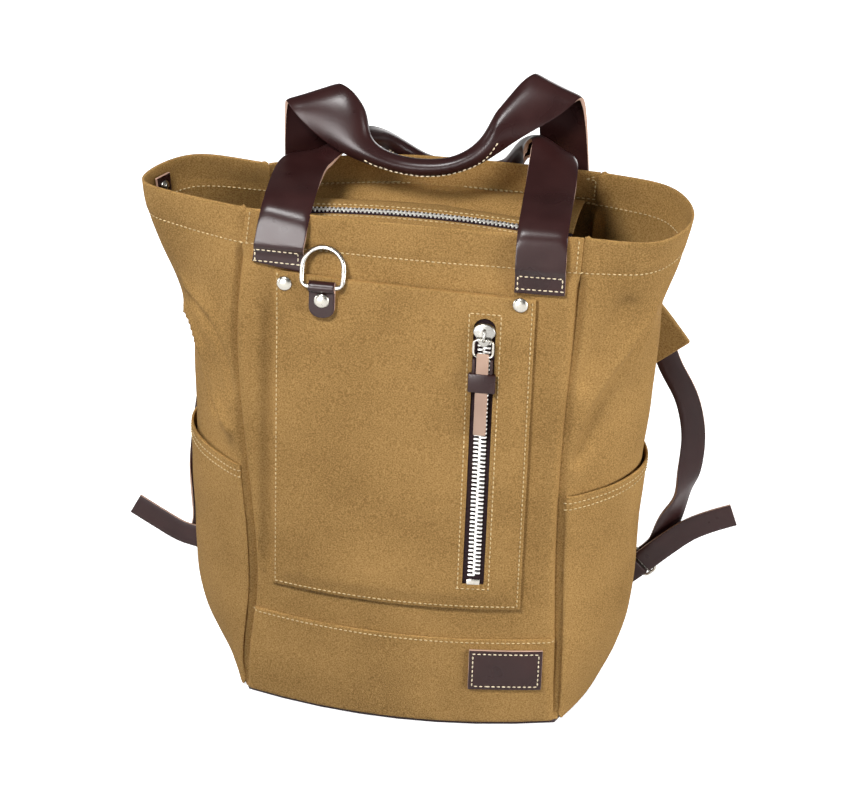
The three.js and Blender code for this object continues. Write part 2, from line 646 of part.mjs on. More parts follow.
/** The recessed cloth strips in the mouth with the zip between them. */
function buildClosure() {
  const half = CLOSURE.halfLength;
  const xAt = (u) => (2 * u - 1) * half;
  const level = CLOSURE.height;
  const strip = (wallY, edge) => (lift) => (u, v) => {
    const x = xAt(u);
    const y = THREE.MathUtils.lerp(wallY(x), closureY(x) + edge, v);
    const z = THREE.MathUtils.lerp(CLOSURE_SEAT, level, Math.sin((v * Math.PI) / 2));
    return new THREE.Vector3(x, y, z + lift);
  };
  const edge = CLOSURE_ZIP.tapeHalf + CLOSURE_ZIP.slot;
  const inside = (wallY, x, clearance) => {
    const slope = (wallY(x + 1, CLOSURE_SEAT) - wallY(x - 1, CLOSURE_SEAT)) / 2;
    return (CANVAS + clearance) * Math.hypot(1, slope);
  };
  const front = strip((x) => frontY(x, CLOSURE_SEAT) + inside(frontY, x, 2 * GAP), -edge);
  const back = strip((x) => backY(x, CLOSURE_SEAT) - inside(backY, x, 4 * GAP), edge);
  add('zip_strip_front', sheet(10, 4, front(CANVAS / 2), front(-CANVAS / 2)), CANVAS_LOOK);
  add('zip_strip_back', sheet(10, 4, back(CANVAS / 2), back(-CANVAS / 2)), CANVAS_LOOK);
  const alongZip = (halfWidth, z, end = half) => (u, v) => {
    const x = (2 * u - 1) * end;
    return new THREE.Vector3(x, closureY(x) + (2 * v - 1) * halfWidth, z);
  };
  const tapeTop = level + TAPE / 2;
  const { tapeHalf } = CLOSURE_ZIP;
  const tape = sheet(10, 1, alongZip(tapeHalf, tapeTop), alongZip(tapeHalf, tapeTop - TAPE));
  add('top_zip_tape', tape, TAPE_LOOK);
  const teethHalf = CLOSURE_ZIP.teethWidth / 2;
  const teethFoot = tapeTop + GAP;
  const teethTop = teethFoot + TEETH_HEIGHT;
  const teethEnd = half - CLOSURE_ZIP.endInset;
  const toothFace = (z) => alongZip(teethHalf, z, teethEnd);
  add('top_zip_teeth', sheet(10, 1, toothFace(teethTop), toothFace(teethFoot)), METAL_LOOK);
  const outline = roundedRectangle(CLOSURE_SLIDER.length, CLOSURE_SLIDER.width, CLOSURE_SLIDER.corner);
  const slider = new THREE.ExtrudeGeometry(outline, {
    depth: CLOSURE_SLIDER.thickness,
    bevelEnabled: false,
    curveSegments: 3,
  });
  const seat = new THREE.Vector3(CLOSURE_SLIDER.x, closureY(CLOSURE_SLIDER.x), teethTop + GAP);
  add('top_zip_slider', slider, METAL_LOOK).position.copy(seat);
}

const STRAP_COLUMNS = ['x', 'y', 'z', 'acrossX', 'acrossY', 'acrossZ', 'roll'];

/** A strap along a table of places: across is its width's direction, roll how far its edges curl round. */
function strap(rows, width, thickness, columns, steps) {
  const centres = rows.map((row) => new THREE.Vector3(row.x, row.y, row.z));
  const widths = rows.map((row) => new THREE.Vector3(row.acrossX, row.acrossY, row.acrossZ));
  const centreLine = new THREE.CatmullRomCurve3(centres, false, 'centripetal');
  const widthLine = new THREE.CatmullRomCurve3(widths, false, 'catmullrom', 0.3);
  const rolls = rows.map((row, k) => ({ place: k / (rows.length - 1), roll: row.roll }));
  const face = (side) => (u, v) => {
    const tangent = centreLine.getTangent(v);
    const across = widthLine.getPoint(v);
    across.addScaledVector(tangent, -across.dot(tangent)).normalize();
    const up = tangent.clone().cross(across);
    const turn = Math.max(THREE.MathUtils.degToRad(smooth(rolls, 'place', 'roll', v)), 0.01);
    const radius = width / turn;
    const angle = (u - 0.5) * turn;
    const drop = radius * (1 - Math.sin(turn / 2) / (turn / 2));
    const out = radius + (side * thickness) / 2;
    const sideways = out * Math.sin(angle);
    const upward = out * Math.cos(angle) - radius + drop;
    return centreLine.getPoint(v).addScaledVector(across, sideways).addScaledVector(up, upward);
  };
  return sheet(columns, steps, face(1), face(-1));
}

/** The foot of a handle's leg sewn flat on a panel: a row for each height. */
function legRows(x, heights, surfaceY, outward, acrossSign) {
  const half = HANDLE_WIDTH / 2;
  return heights.map((z) => {
    const slope = (surfaceY(x + half, z) - surfaceY(x - half, z)) / HANDLE_WIDTH;
    const edge = (surfaceY(x + half, z) + surfaceY(x - half, z)) / 2 - surfaceY(x, z);
    const y = surfaceY(x, z) + outward * (LEATHER / 2 + 2.4 * GAP + Math.max(outward * edge, 0));
    return [x, y, z, acrossSign, acrossSign * slope, 0, 0];
  });
}

/** The rows where a handle's leg folds forward over a slanting crest; crestTop is the strap's middle there. */
function archRows(side, crestTop) {
  const crest = new THREE.Vector3(-side * ARCH.across, ARCH.back, ARCH.rise).normalize();
  const leg = new THREE.Vector3(0, -ARCH.lean, 1).normalize();
  const slip = leg.dot(crest);
  const turn = Math.sqrt(1 - slip * slip);
  const up = leg.clone().addScaledVector(crest, -slip).normalize();
  const forward = crest.clone().cross(up).multiplyScalar(-side);
  return ARCH.turns.map((degrees, k) => {
    const angle = THREE.MathUtils.degToRad(degrees);
    const way = up.clone().multiplyScalar(Math.cos(angle)).addScaledVector(forward, Math.sin(angle));
    const across = crest.clone().multiplyScalar(turn).addScaledVector(way, -slip);
    const place = crestTop
      .clone()
      .addScaledVector(up, ARCH.radius * (Math.sin(angle) - 1))
      .addScaledVector(forward, -ARCH.radius * Math.cos(angle))
      .addScaledVector(crest, (slip / turn) * ARCH.radius * (angle - Math.PI / 2));
    return [...place.toArray(), ...across.toArray(), ARCH.rolls[k]];
  });
}

/** The two carrying handles. Their grips are rolled into a tube and sewn along the underside. */
function buildHandles() {
  const backHandle = [
    ...legRows(-101, [345, 376, 400, 418, 432], backY, 1, 1),
    ...archRows(-1, new THREE.Vector3(-97, 22, 492)),
    [-69, 11, 469, 0.6, 0.5, 0.6, 100],
    [-50, 8, 456, 0.25, 0.95, 0.2, 270],
    [-30, 8, 447, 0, 1, 0, GRIP_ROLL],
    [-5, 8, 445, 0, 1, 0, GRIP_ROLL],
    [22, 10, 449, 0, 1, 0, GRIP_ROLL],
    [46, 15, 468, -0.25, 0.9, 0.2, 270],
    [65, 22, 487, -0.6, 0.5, 0.6, 90],
    ...archRows(1, new THREE.Vector3(91, 36, 509)).reverse(),
    ...legRows(99, [432, 410, 380, 345], backY, 1, -1),
  ];
  add('back_handle', strap(table(STRAP_COLUMNS, backHandle), HANDLE_WIDTH, LEATHER, 8, 40), LEATHER_LOOK);
  const frontHandle = [
    ...legRows(-104, [390], frontY, -1, -1),
    ...legRows(-101.5, [408], frontY, -1, -1),
    ...legRows(-99, [426], frontY, -1, -1),
    [-96.5, -74, 440, -1, 0, 0.05, 0],
    [-97, -52, 444, -1, 0, 0.05, 0],
    [-98, -22, 445, -1, 0, 0.05, 0],
    [-97.5, -2, 445, -1, 0, 0.05, 0],
    [-93, 11, 445, -0.95, 0.2, 0, 30],
    [-81, 22, 448, -0.65, 0.35, -0.5, 140],
    [-68, 34, 455, -0.4, 0.5, -0.7, 200],
    [-55, 50, 453, -0.3, 0.7, -0.4, 240],
    [-40, 66, 441, -0.2, 0.9, 0, 300],
    [-16, 77, 419, 0, 1, 0.1, GRIP_ROLL],
    [20, 79, 415, 0, 1, 0.1, GRIP_ROLL],
    [50, 77, 420, 0.2, 0.9, 0.2, GRIP_ROLL],
    [59, 70, 434, 0.5, 0.8, 0.2, GRIP_ROLL],
    [66, 57, 450, 0.7, 0.6, -0.1, GRIP_ROLL],
    [78, 42, 461, 0.8, 0.2, -0.4, 170],
    [93, 30, 465, 0.9, -0.3, -0.25, 10],
    [95, 4, 457, 1, -0.1, -0.12, 0],
    [96, -22, 450, 1, 0, -0.05, 0],
    [97, -52, 445, 1, 0, -0.05, 0],
    [97, -76, 440, 1, 0, 0, 0],
    ...legRows(97, [426, 406, 387], frontY, -1, 1),
  ];
  add('front_handle', strap(table(STRAP_COLUMNS, frontHandle), HANDLE_WIDTH, LEATHER, 8, 44), LEATHER_LOOK);
}

/** The rows of an adjuster strap: down from its pad, round the buckle's upper bar, and out as a free end. */
function adjusterRows(upper, buckle, freeEnd) {
  const reach = BUCKLE.wire / 2 + 2 * GAP + THIN_LEATHER / 2;
  const bar = buckle.centre.clone().addScaledVector(buckle.up, BUCKLE.height / 2);
  const row = (along, behind) => {
    const place = bar.clone().addScaledVector(buckle.up, along);
    return [place.x, place.y + behind, place.z, ...buckle.across.toArray(), 0];
  };
  const bend = [row(9, reach), row(0, reach), row(-reach, 0), row(0, -reach), row(11, -reach)];
  return [...upper, ...bend, ...freeEnd];
}

/** The rows of an anchor strap: a short ply in front, round the buckle's lower bar, and on to the base. */
function anchorRows(buckle, lower) {
  const reach = BUCKLE.wire / 2 + 2 * GAP + THIN_LEATHER / 2;
  const bar = buckle.centre.clone().addScaledVector(buckle.up, -BUCKLE.height / 2);
  const row = (along, behind) => {
    const place = bar.clone().addScaledVector(buckle.up, -along);
    return [place.x, place.y + behind, place.z, ...buckle.across.toArray(), 0];
  };
  const bend = [row(13, -reach + 1.4), row(0, -reach), row(-reach, 0), row(0, reach), row(13, reach - 1.4)];
  return [...bend, ...lower];
}

/** A shoulder strap: canvas pad from the back's top, leather adjuster, buckle, and the anchor at the base. */
function buildShoulderStrap(side, { pad, upper, freeEnd, lower, buckle }) {
  add(`${side}_shoulder_pad`, strap(table(STRAP_COLUMNS, pad), PAD.width, PAD.thickness, 2, 14), CANVAS_LOOK);
  const leather = (rows, steps) => strap(table(STRAP_COLUMNS, rows), STRAP_WIDTH, THIN_LEATHER, 1, steps);
  add(`${side}_adjuster_strap`, leather(adjusterRows(upper, buckle, freeEnd), 45), LEATHER_LOOK);
  add(`${side}_anchor_strap`, leather(anchorRows(buckle, lower), 21), LEATHER_LOOK);
  const outline = roundedRectangle(BUCKLE.width, BUCKLE.height, BUCKLE.corner);
  const frame = solid(wireLoop(outline, 16, BUCKLE.wire, 6));
  const bar = new THREE.CylinderGeometry(BUCKLE.wire / 2, BUCKLE.wire / 2, BUCKLE.width - BUCKLE.wire / 2, 6);
  bar.rotateZ(Math.PI / 2);
  const shape = add(`${side}_buckle`, fromSolid(frame.add(solid(bar))), METAL_LOOK);
  shape.position.copy(buckle.centre);
  const facing = buckle.up.clone().cross(buckle.across);
  shape.quaternion.setFromRotationMatrix(new THREE.Matrix4().makeBasis(buckle.across, facing, buckle.up));
}

/** The first row of a shoulder pad, sewn flat on the back panel. */
function padTop(x, z, lean) {
  const half = PAD.width / 2;
  const slope = (backY(x + half, z) - backY(x - half, z)) / PAD.width;
  const y = backY(x, z) + (PAD.thickness / 2) * Math.hypot(1, slope) + 3 * GAP;
  return [x, y, z, 1, slope, lean, 0];
}

/** The last row of an anchor strap, sewn flat on the foot of the back panel. */
function anchorEnd(x, z) {
  return [x, backY(x, z) + THIN_LEATHER / 2 + 4 * GAP, z, 0, 0, 1, 0];
}

/** Both shoulder straps, lying as they fall beside the bag. */
function buildShoulderStraps() {
  buildShoulderStrap('right', {
    pad: [
      padTop(46, 414, 0.15),
      [58, 75, 386, 0.92, 0, 0.4, 0],
      [92, 90, 355, 0.75, 0, 0.66, 0],
      [132, 97, 322, 0.78, 0, 0.62, 0],
      [163, 98, 291, 0.8, 0, 0.6, 0],
      [189, 96, 259, 0.84, 0, 0.54, 0],
    ],
    upper: [
      [182, 100.5, 269, 0.84, 0, 0.54, 0],
      [191, 100, 247, 0.85, 0, 0.52, 0],
      [206, 98, 221, 0.9, 0, 0.4, 0],
      [214, 96, 190, 1, 0, 0, 0],
      [213.5, 95, 158, 0.96, 0.25, -0.1, 0],
      [209, 97, 130, 0.5, 0.8, -0.3, 0],
      [199, 99, 100, 0.8, 0.3, -0.5, 0],
    ],
    freeEnd: [
      [216, 95, 96, 0.5, 0, -0.86, 0],
      [234, 98, 105, 0.4, 0, -0.9, 0],
      [253, 101, 112, 0.35, 0, -0.92, 0],
    ],
    lower: [
      [163, 93, 31, 0.8, 0.2, 0.5, 0],
      [150, 87, 19, 0.3, 0.2, 0.9, 0],
      [134, 80, 15, 0, 0.1, 1, 0],
      anchorEnd(114, 14),
    ],
    buckle: {
      centre: new THREE.Vector3(178, 95, 61),
      across: new THREE.Vector3(0.714, 0, -0.7),
      up: new THREE.Vector3(0.7, 0, 0.714),
    },
  });
  buildShoulderStrap('left', {
    pad: [
      padTop(-46, 414, -0.15),
      [-58, 74, 386, 0.92, 0, -0.4, 0],
      [-92, 88, 355, 0.75, 0, -0.66, 0],
      [-130, 96, 322, 0.78, 0, -0.62, 0],
      [-158, 97, 291, 0.8, 0, -0.6, 0],
      [-180, 96, 259, 0.84, 0, -0.54, 0],
    ],
    upper: [
      [-174, 100.5, 269, 0.84, 0, -0.54, 0],
      [-183, 100, 247, 0.85, 0, -0.52, 0],
      [-192, 98, 215, 0.95, 0, -0.3, 0],
      [-198, 96, 175, 1, 0, -0.1, 0],
      [-203, 95, 130, 0.96, 0.25, 0, 0],
      [-206, 97, 92, 0.5, 0.8, 0.2, 0],
      [-203, 100, 62, 0.5, 0.3, 0.6, 0],
    ],
    freeEnd: [
      [-222, 96, 43, 0.45, 0, 0.89, 0],
      [-243, 98, 53, 0.4, 0, 0.92, 0],
      [-264, 100, 64, 0.35, 0, 0.94, 0],
    ],
    lower: [
      [-156, 90, 18, 0.2, 0.2, 0.9, 0],
      [-136, 80, 15, 0, 0.1, 1, 0],
      anchorEnd(-115, 14),
    ],
    buckle: {
      centre: new THREE.Vector3(-187, 97, 31),
      across: new THREE.Vector3(0.45, 0, 0.893),
      up: new THREE.Vector3(-0.893, 0, 0.45),
    },
  });
}

/** The leather patch on the band and the snap tab inside the left end of the mouth. */
function buildTrim() {
  const offset = GAP + CANVAS + GAP;
  const patch = (distance) => (u, v) => {
    const x = THREE.MathUtils.lerp(PATCH.left, PATCH.right, u);
    const z = THREE.MathUtils.lerp(PATCH.bottom, PATCH.top, v) + (u - 0.5) * PATCH.turn;
    return beforeFront(x, z, distance);
  };
  add('base_patch', sheet(4, 2, patch(offset + THIN_LEATHER), patch(offset)), LEATHER_LOOK);
  const inside = -CANVAS - SNAP.clearance;
  const tab = bodySheet(SNAP.turns, SNAP.heights, inside - THIN_LEATHER, inside, 2, 2);
  add('snap_tab', tab, LEATHER_LOOK);
  const turn = (SNAP.turns[0] + SNAP.turns[1]) / 2;
  const z = (SNAP.heights[0] + SNAP.heights[1]) / 2;
  const inward = bodyNormal(turn, z).negate();
  const profile = [
    new THREE.Vector2(0, 0),
    new THREE.Vector2(SNAP.radius, 0),
    new THREE.Vector2(SNAP.radius * 0.7, SNAP.thickness),
    new THREE.Vector2(0, SNAP.thickness),
  ];
  const stud = add('snap_stud', new THREE.LatheGeometry(profile, 12), METAL_LOOK);
  stud.position.copy(overBody(turn, z, inside - THIN_LEATHER - 3 * GAP));
  stud.quaternion.setFromUnitVectors(new THREE.Vector3(0, 1, 0), inward);
}

buildWalls();
buildBase();
buildSidePockets();
buildPocket();
buildPocketZip();
buildZipPull();
buildRing();
buildClosure();
buildHandles();
buildShoulderStraps();
buildTrim();

export default bag;
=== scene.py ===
"""The looks of a canvas backpack: cloth, leather, stitches and metal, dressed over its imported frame."""

import json
import logging
import math
import random
from dataclasses import dataclass, field
from enum import Enum
from typing import Callable, ClassVar, Iterable, Sequence

import bmesh
import bpy
from mathutils import Matrix, Vector, noise
from mathutils.bvhtree import BVHTree
from mathutils.kdtree import KDTree


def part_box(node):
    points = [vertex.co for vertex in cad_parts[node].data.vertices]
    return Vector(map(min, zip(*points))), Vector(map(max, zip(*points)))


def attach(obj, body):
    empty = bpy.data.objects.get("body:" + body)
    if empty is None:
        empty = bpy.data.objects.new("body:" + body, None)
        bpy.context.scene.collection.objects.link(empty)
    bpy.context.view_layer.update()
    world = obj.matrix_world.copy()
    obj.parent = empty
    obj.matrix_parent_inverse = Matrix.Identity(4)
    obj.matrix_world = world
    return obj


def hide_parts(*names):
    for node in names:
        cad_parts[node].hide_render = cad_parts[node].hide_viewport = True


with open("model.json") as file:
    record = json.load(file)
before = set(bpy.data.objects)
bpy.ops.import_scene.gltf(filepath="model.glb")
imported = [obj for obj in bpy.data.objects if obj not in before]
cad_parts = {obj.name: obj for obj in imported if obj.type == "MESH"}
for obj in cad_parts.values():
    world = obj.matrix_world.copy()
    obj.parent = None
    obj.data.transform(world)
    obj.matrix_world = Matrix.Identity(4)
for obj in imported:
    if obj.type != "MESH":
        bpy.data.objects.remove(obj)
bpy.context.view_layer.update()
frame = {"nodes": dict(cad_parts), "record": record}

LOG = logging.getLogger("backpack")
MM = 0.001
SHARP = math.radians(60)
MERGE = 0.01 * MM
FAR = 400.0 * MM
WIRE_SIDES = 10
TURNED_STEPS = 28
CANVAS_PLY = 2.0 * MM
STRAP_PLY = 2.2 * MM
HANDLE_PLY = 3.0 * MM
PAD_PLY = 5.0 * MM
TAPE_PLY = 1.0 * MM
FRONT = Vector((0.0, -1.0, 0.0))
BACK = Vector((0.0, 1.0, 0.0))
RIGHT = Vector((1.0, 0.0, 0.0))
UP = Vector((0.0, 0.0, 1.0))

Colour = tuple[float, float, float]
Place = tuple[Vector, Vector]
Socket = bpy.types.NodeSocket
Piece = bpy.types.Object
Shape = bmesh.types.BMesh


class Slot(Enum):
    """The record's material slots."""

    CANVAS = "canvas"
    LEATHER = "leather"
    TAN = "tan_leather"
    TAPE = "zip_tape"
    NICKEL = "nickel"
    THREAD = "thread"


class Body(Enum):
    """The bodies of the frame that a piece can ride on."""

    BAG = "bag"
    RING = "ring"
    PULL = "pull"


def smoothstep(low: float, high: float, value: float) -> float:
    """A smooth rise from 0 at low to 1 at high.

    Args:
        low: Where the rise starts.
        high: Where the rise ends.
        value: Where to read it.

    Returns:
        The height of the rise.
    """
    share = min(max((value - low) / (high - low), 0.0), 1.0)
    return share * share * (3.0 - 2.0 * share)


class Graph:
    """A material's node tree, with short calls for the nodes that the finishes share."""

    NOISE_SPAN = (0.2, 0.8)

    def __init__(self, name: str) -> None:
        """Starts a material with a plain shader.

        Args:
            name: The material's name.
        """
        self.material = bpy.data.materials.new(name)
        self.material.use_nodes = True
        self.tree = self.material.node_tree
        self.shader = self.tree.nodes["Principled BSDF"]

    def add(self, kind: str, **settings: object) -> bpy.types.Node:
        """Adds a node.

        Args:
            kind: The node's type.
            settings: Properties to set on it.

        Returns:
            The new node.
        """
        node = self.tree.nodes.new(kind)
        for key, value in settings.items():
            setattr(node, key, value)
        return node

    def link(self, source: Socket, target: Socket) -> None:
        """Joins two sockets."""
        self.tree.links.new(source, target)

    def place(self) -> Socket:
        """The Object coordinates."""
        return self.add("ShaderNodeTexCoord").outputs["Object"]

    def noise(self, place: Socket, scale: float, detail: float) -> Socket:
        """A noise pattern.

        Args:
            place: The coordinates to read it at.
            scale: Its frequency per metre.
            detail: How many finer patterns are laid over it.

        Returns:
            The pattern's value.
        """
        node = self.add("ShaderNodeTexNoise")
        node.inputs["Scale"].default_value = scale
        node.inputs["Detail"].default_value = detail
        self.link(place, node.inputs["Vector"])
        return node.outputs["Fac"]

    def blend(self, first: Socket, second: Socket, share: float) -> Socket:
        """A mean of two patterns.

        Args:
            first: One pattern.
            second: The other pattern.
            share: The weight of the second one.

        Returns:
            The mean's value.
        """
        node = self.add("ShaderNodeMix", data_type="FLOAT")
        node.inputs[0].default_value = share
        self.link(first, node.inputs[2])
        self.link(second, node.inputs[3])
        return node.outputs[0]

    def ramp(self, value: Socket, low: Colour, high: Colour, ends: tuple[float, float]) -> None:
        """Colours the shader by a pattern.

        Args:
            value: The pattern.
            low: The colour at its low end.
            high: The colour at its high end.
            ends: The pattern's values at those ends.
        """
        node = self.add("ShaderNodeValToRGB")
        for stop, place, colour in zip(node.color_ramp.elements, ends, (low, high)):
            stop.position = place
            stop.color = (*colour, 1.0)
        self.link(value, node.inputs["Fac"])
        self.link(node.outputs["Color"], self.shader.inputs["Base Color"])

    def gloss(self, value: Socket, low: float, high: float) -> None:
        """Varies the shader's roughness by a pattern.

        Args:
            value: The pattern.
            low: The roughness at its low end.
            high: The roughness at its high end.
        """
        node = self.add("ShaderNodeMapRange")
        names = ("From Min", "From Max", "To Min", "To Max")
        for name, number in zip(names, (*self.NOISE_SPAN, low, high)):
            node.inputs[name].default_value = number
        self.link(value, node.inputs["Value"])
        self.link(node.outputs["Result"], self.shader.inputs["Roughness"])

    def bump(self, height: Socket, strength: float, depth: float) -> None:
        """Roughens the surface by a pattern.

        Args:
            height: The pattern.
            strength: How strongly it shows.
            depth: Its height in metres.
        """
        node = self.add("ShaderNodeBump")
        node.inputs["Strength"].default_value = strength
        node.inputs["Distance"].default_value = depth
        self.link(height, node.inputs["Height"])
        self.link(node.outputs["Normal"], self.shader.inputs["Normal"])


@dataclass(frozen=True)
class Finish:
    """What a surface is made of."""

    name: str
    slot: Slot

    def material(self) -> bpy.types.Material:
        """The finish's material, made at the first call."""
        return bpy.data.materials.get(self.name) or self._made()

    def _made(self) -> bpy.types.Material:
        """A plain material."""
        return Graph(self.name).material


@dataclass(frozen=True)
class Woven(Finish):
    """A plain weave with mottled dye, whose patterns are counted per metre."""

    dark: Colour
    light: Colour
    pitch: float
    relief: float = 0.5
    grain: float = 900.0
    mottle: float = 14.0
    grain_in_dye: float = 0.7
    grain_in_relief: float = 0.6
    dye_span: tuple[float, float] = (0.36, 0.64)
    rough: float = 0.9
    shine: float = 0.06

    def _made(self) -> bpy.types.Material:
        """The weave's bumps follow the piece's own map, and its mottling is in the object's space.

        Returns:
            The material.
        """
        graph = Graph(self.name)
        threads = graph.add("ShaderNodeVectorMath", operation="SCALE")
        threads.inputs["Scale"].default_value = 2.0 * math.pi / self.pitch
        graph.link(graph.add("ShaderNodeUVMap", uv_map="weave").outputs["UV"], threads.inputs[0])
        waves = graph.add("ShaderNodeVectorMath", operation="SINE")
        graph.link(threads.outputs["Vector"], waves.inputs[0])
        parts = graph.add("ShaderNodeSeparateXYZ")
        graph.link(waves.outputs["Vector"], parts.inputs[0])
        weave = graph.add("ShaderNodeMath", operation="MULTIPLY")
        graph.link(parts.outputs["X"], weave.inputs[0])
        graph.link(parts.outputs["Y"], weave.inputs[1])
        place = graph.place()
        grain = graph.noise(place, self.grain, 3.0)
        mottle = graph.noise(place, self.mottle, 4.0)
        dye = graph.blend(mottle, grain, self.grain_in_dye)
        graph.ramp(dye, self.dark, self.light, self.dye_span)
        relief = graph.blend(weave.outputs[0], grain, self.grain_in_relief)
        graph.bump(relief, self.relief, 0.5 * self.pitch)
        graph.shader.inputs["Roughness"].default_value = self.rough
        graph.shader.inputs["Specular IOR Level"].default_value = self.shine
        return graph.material


@dataclass(frozen=True)
class Hide(Finish):
    """Leather or thread with a fine grain, whose patterns are counted per metre."""

    dark: Colour
    light: Colour
    smooth: float
    rough: float
    grain: float = 0.25
    shine: float = 0.4
    handling: float = 36.0
    pores: float = 900.0
    pore_depth: float = 0.25 * MM

    def _made(self) -> bpy.types.Material:
        """The grain and the handling marks are in the object's space.

        Returns:
            The material.
        """
        graph = Graph(self.name)
        place = graph.place()
        handling = graph.noise(place, self.handling, 2.0)
        graph.ramp(handling, self.dark, self.light, graph.NOISE_SPAN)
        graph.gloss(handling, self.smooth, self.rough)
        graph.bump(graph.noise(place, self.pores, 3.0), self.grain, self.pore_depth)
        graph.shader.inputs["Specular IOR Level"].default_value = self.shine
        return graph.material


@dataclass(frozen=True)
class Metal(Finish):
    """Plated metal with handling marks, which are counted per metre."""

    colour: Colour
    polish: tuple[float, float]
    marks: float = 260.0

    def _made(self) -> bpy.types.Material:
        """The polish varies in the object's space.

        Returns:
            The material.
        """
        graph = Graph(self.name)
        graph.shader.inputs["Base Color"].default_value = (*self.colour, 1.0)
        graph.shader.inputs["Metallic"].default_value = 1.0
        graph.gloss(graph.noise(graph.place(), self.marks, 4.0), *self.polish)
        return graph.material


CANVAS = Woven("khaki_canvas", Slot.CANVAS, (0.21, 0.118, 0.037), (0.43, 0.254, 0.089), 0.9 * MM, 0.55)
TAPE = Woven("plum_zip_tape", Slot.TAPE, (0.022, 0.012, 0.014), (0.042, 0.025, 0.028), 0.8 * MM, 0.5)
LEATHER = Hide(
    "brown_leather", Slot.LEATHER, (0.019, 0.0058, 0.0056), (0.033, 0.0112, 0.0106), 0.25, 0.34, shine=0.22
)
CUT_EDGE = Hide("leather_cut_edge", Slot.TAN, (0.36, 0.215, 0.155), (0.56, 0.375, 0.285), 0.65, 0.8, 0.5)
FLESH = Hide("leather_flesh_side", Slot.TAN, (0.31, 0.19, 0.135), (0.49, 0.33, 0.245), 0.75, 0.9, 0.8)
NICKEL = Metal("nickel_plate", Slot.NICKEL, (0.36, 0.34, 0.3), (0.2, 0.32))
ZIP_METAL = Metal("zip_metal", Slot.NICKEL, (0.66, 0.645, 0.615), (0.36, 0.5))
# A lighter copy of the zip metal: painted light that brightens the top zip's teeth where the handles shade
# them.
ZIP_METAL_PAINTED_LIGHTER = Metal("zip_metal_painted_lighter", Slot.NICKEL, (0.92, 0.9, 0.86), (0.5, 0.62))
# A darker copy of the nickel for the pocket zip's slider: painted shade that dulls its reflection of the
# bright floor and lamps.
SLIDER_NICKEL_PAINTED_DARKER = Metal("slider_nickel_painted_darker", Slot.NICKEL, (0.27, 0.26, 0.24), (0.2, 0.34))
CREAM = Hide("cream_thread", Slot.THREAD, (0.58, 0.47, 0.31), (0.80, 0.70, 0.50), 0.6, 0.75)
KHAKI = Hide("straw_thread", Slot.THREAD, (0.43, 0.31, 0.14), (0.62, 0.47, 0.24), 0.7, 0.8)


def add_piece(
    name: str,
    bm: Shape,
    finishes: Sequence[Finish],
    body: Body = Body.BAG,
    stands_for: Sequence[str] = (),
) -> Piece:
    """Turns a mesh into a piece of the bag.

    Args:
        name: The piece's name.
        bm: Its shape, which is used up.
        finishes: Its finishes, in the order of the faces' material numbers.
        body: What it rides on.
        stands_for: The nodes of the frame that it is shown in place of.

    Returns:
        The new object.
    """
    mesh = bpy.data.meshes.new(name)
    bm.to_mesh(mesh)
    bm.free()
    mesh.shade_smooth()
    for finish in finishes:
        mesh.materials.append(finish.material())
    piece = bpy.data.objects.new(name, mesh)
    bpy.context.scene.collection.objects.link(piece)
    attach(piece, body.value)
    if stands_for:
        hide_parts(*stands_for)
    LOG.info("%s: %d faces", name, len(mesh.polygons))
    return piece


def append(bm: Shape, other: Shape) -> None:
    """Adds one shape to another.

    Args:
        bm: The shape that grows.
        other: The shape that is added, which is used up.
    """
    mesh = bpy.data.meshes.new("added")
    other.to_mesh(mesh)
    other.free()
    bm.from_mesh(mesh)
    bpy.data.meshes.remove(mesh)


def round_edges(piece: Piece, width: float, segments: int = 2) -> None:
    """Rounds a piece's sharp edges.

    Args:
        piece: The piece.
        width: How wide the rounding is.
        segments: How many faces it has.
    """
    bevel = piece.modifiers.new("rounding", "BEVEL")
    bevel.width = width
    bevel.segments = segments
    bevel.limit_method = "ANGLE"
    bevel.angle_limit = SHARP


def swept(bm: Shape, stations: Sequence[Matrix], sides: int, closed: bool) -> None:
    """Sweeps a round wire through stations.

    Args:
        bm: Where the wire is made.
        stations: The wire's places: Z along it, and the scale its radius.
        sides: How many sides it has.
        closed: Whether it joins its own start.
    """
    made = bmesh.ops.create_circle(bm, cap_ends=False, segments=sides, radius=1.0, matrix=stations[0])
    first = list({edge for vert in made["verts"] for edge in vert.link_edges})
    ring = first
    for before, after in zip(stations, stations[1:]):
        grown = bmesh.ops.extrude_edge_only(bm, edges=ring)["geom"]
        verts = [item for item in grown if isinstance(item, bmesh.types.BMVert)]
        bmesh.ops.transform(bm, matrix=after @ before.inverted(), verts=verts)
        tips = set(verts)
        ring = [item for item in grown if isinstance(item, bmesh.types.BMEdge) and set(item.verts) <= tips]
    if closed:
        bmesh.ops.bridge_loops(bm, edges=first + ring)
    else:
        bmesh.ops.holes_fill(bm, edges=first + ring, sides=sides)
    bmesh.ops.recalc_face_normals(bm, faces=bm.faces)


def wire(bm: Shape, path: Sequence[Vector], flat: Vector, radius: float, closed: bool) -> None:
    """Bends a round wire along a path that lies in a plane.

    Args:
        bm: Where the wire is made.
        path: The wire's middle.
        flat: The plane's normal.
        radius: The wire's radius.
        closed: Whether the path is a loop.
    """
    count = len(path)
    stations = []
    for k, point in enumerate(path):
        before = path[k - 1] if closed or k > 0 else point
        after = path[(k + 1) % count] if closed or k < count - 1 else point
        along = (after - before).normalized()
        across = flat.cross(along).normalized()
        turn = Matrix((across, flat, along)).transposed() * radius
        stations.append(Matrix.Translation(point) @ turn.to_4x4())
    swept(bm, stations, WIRE_SIDES, closed)


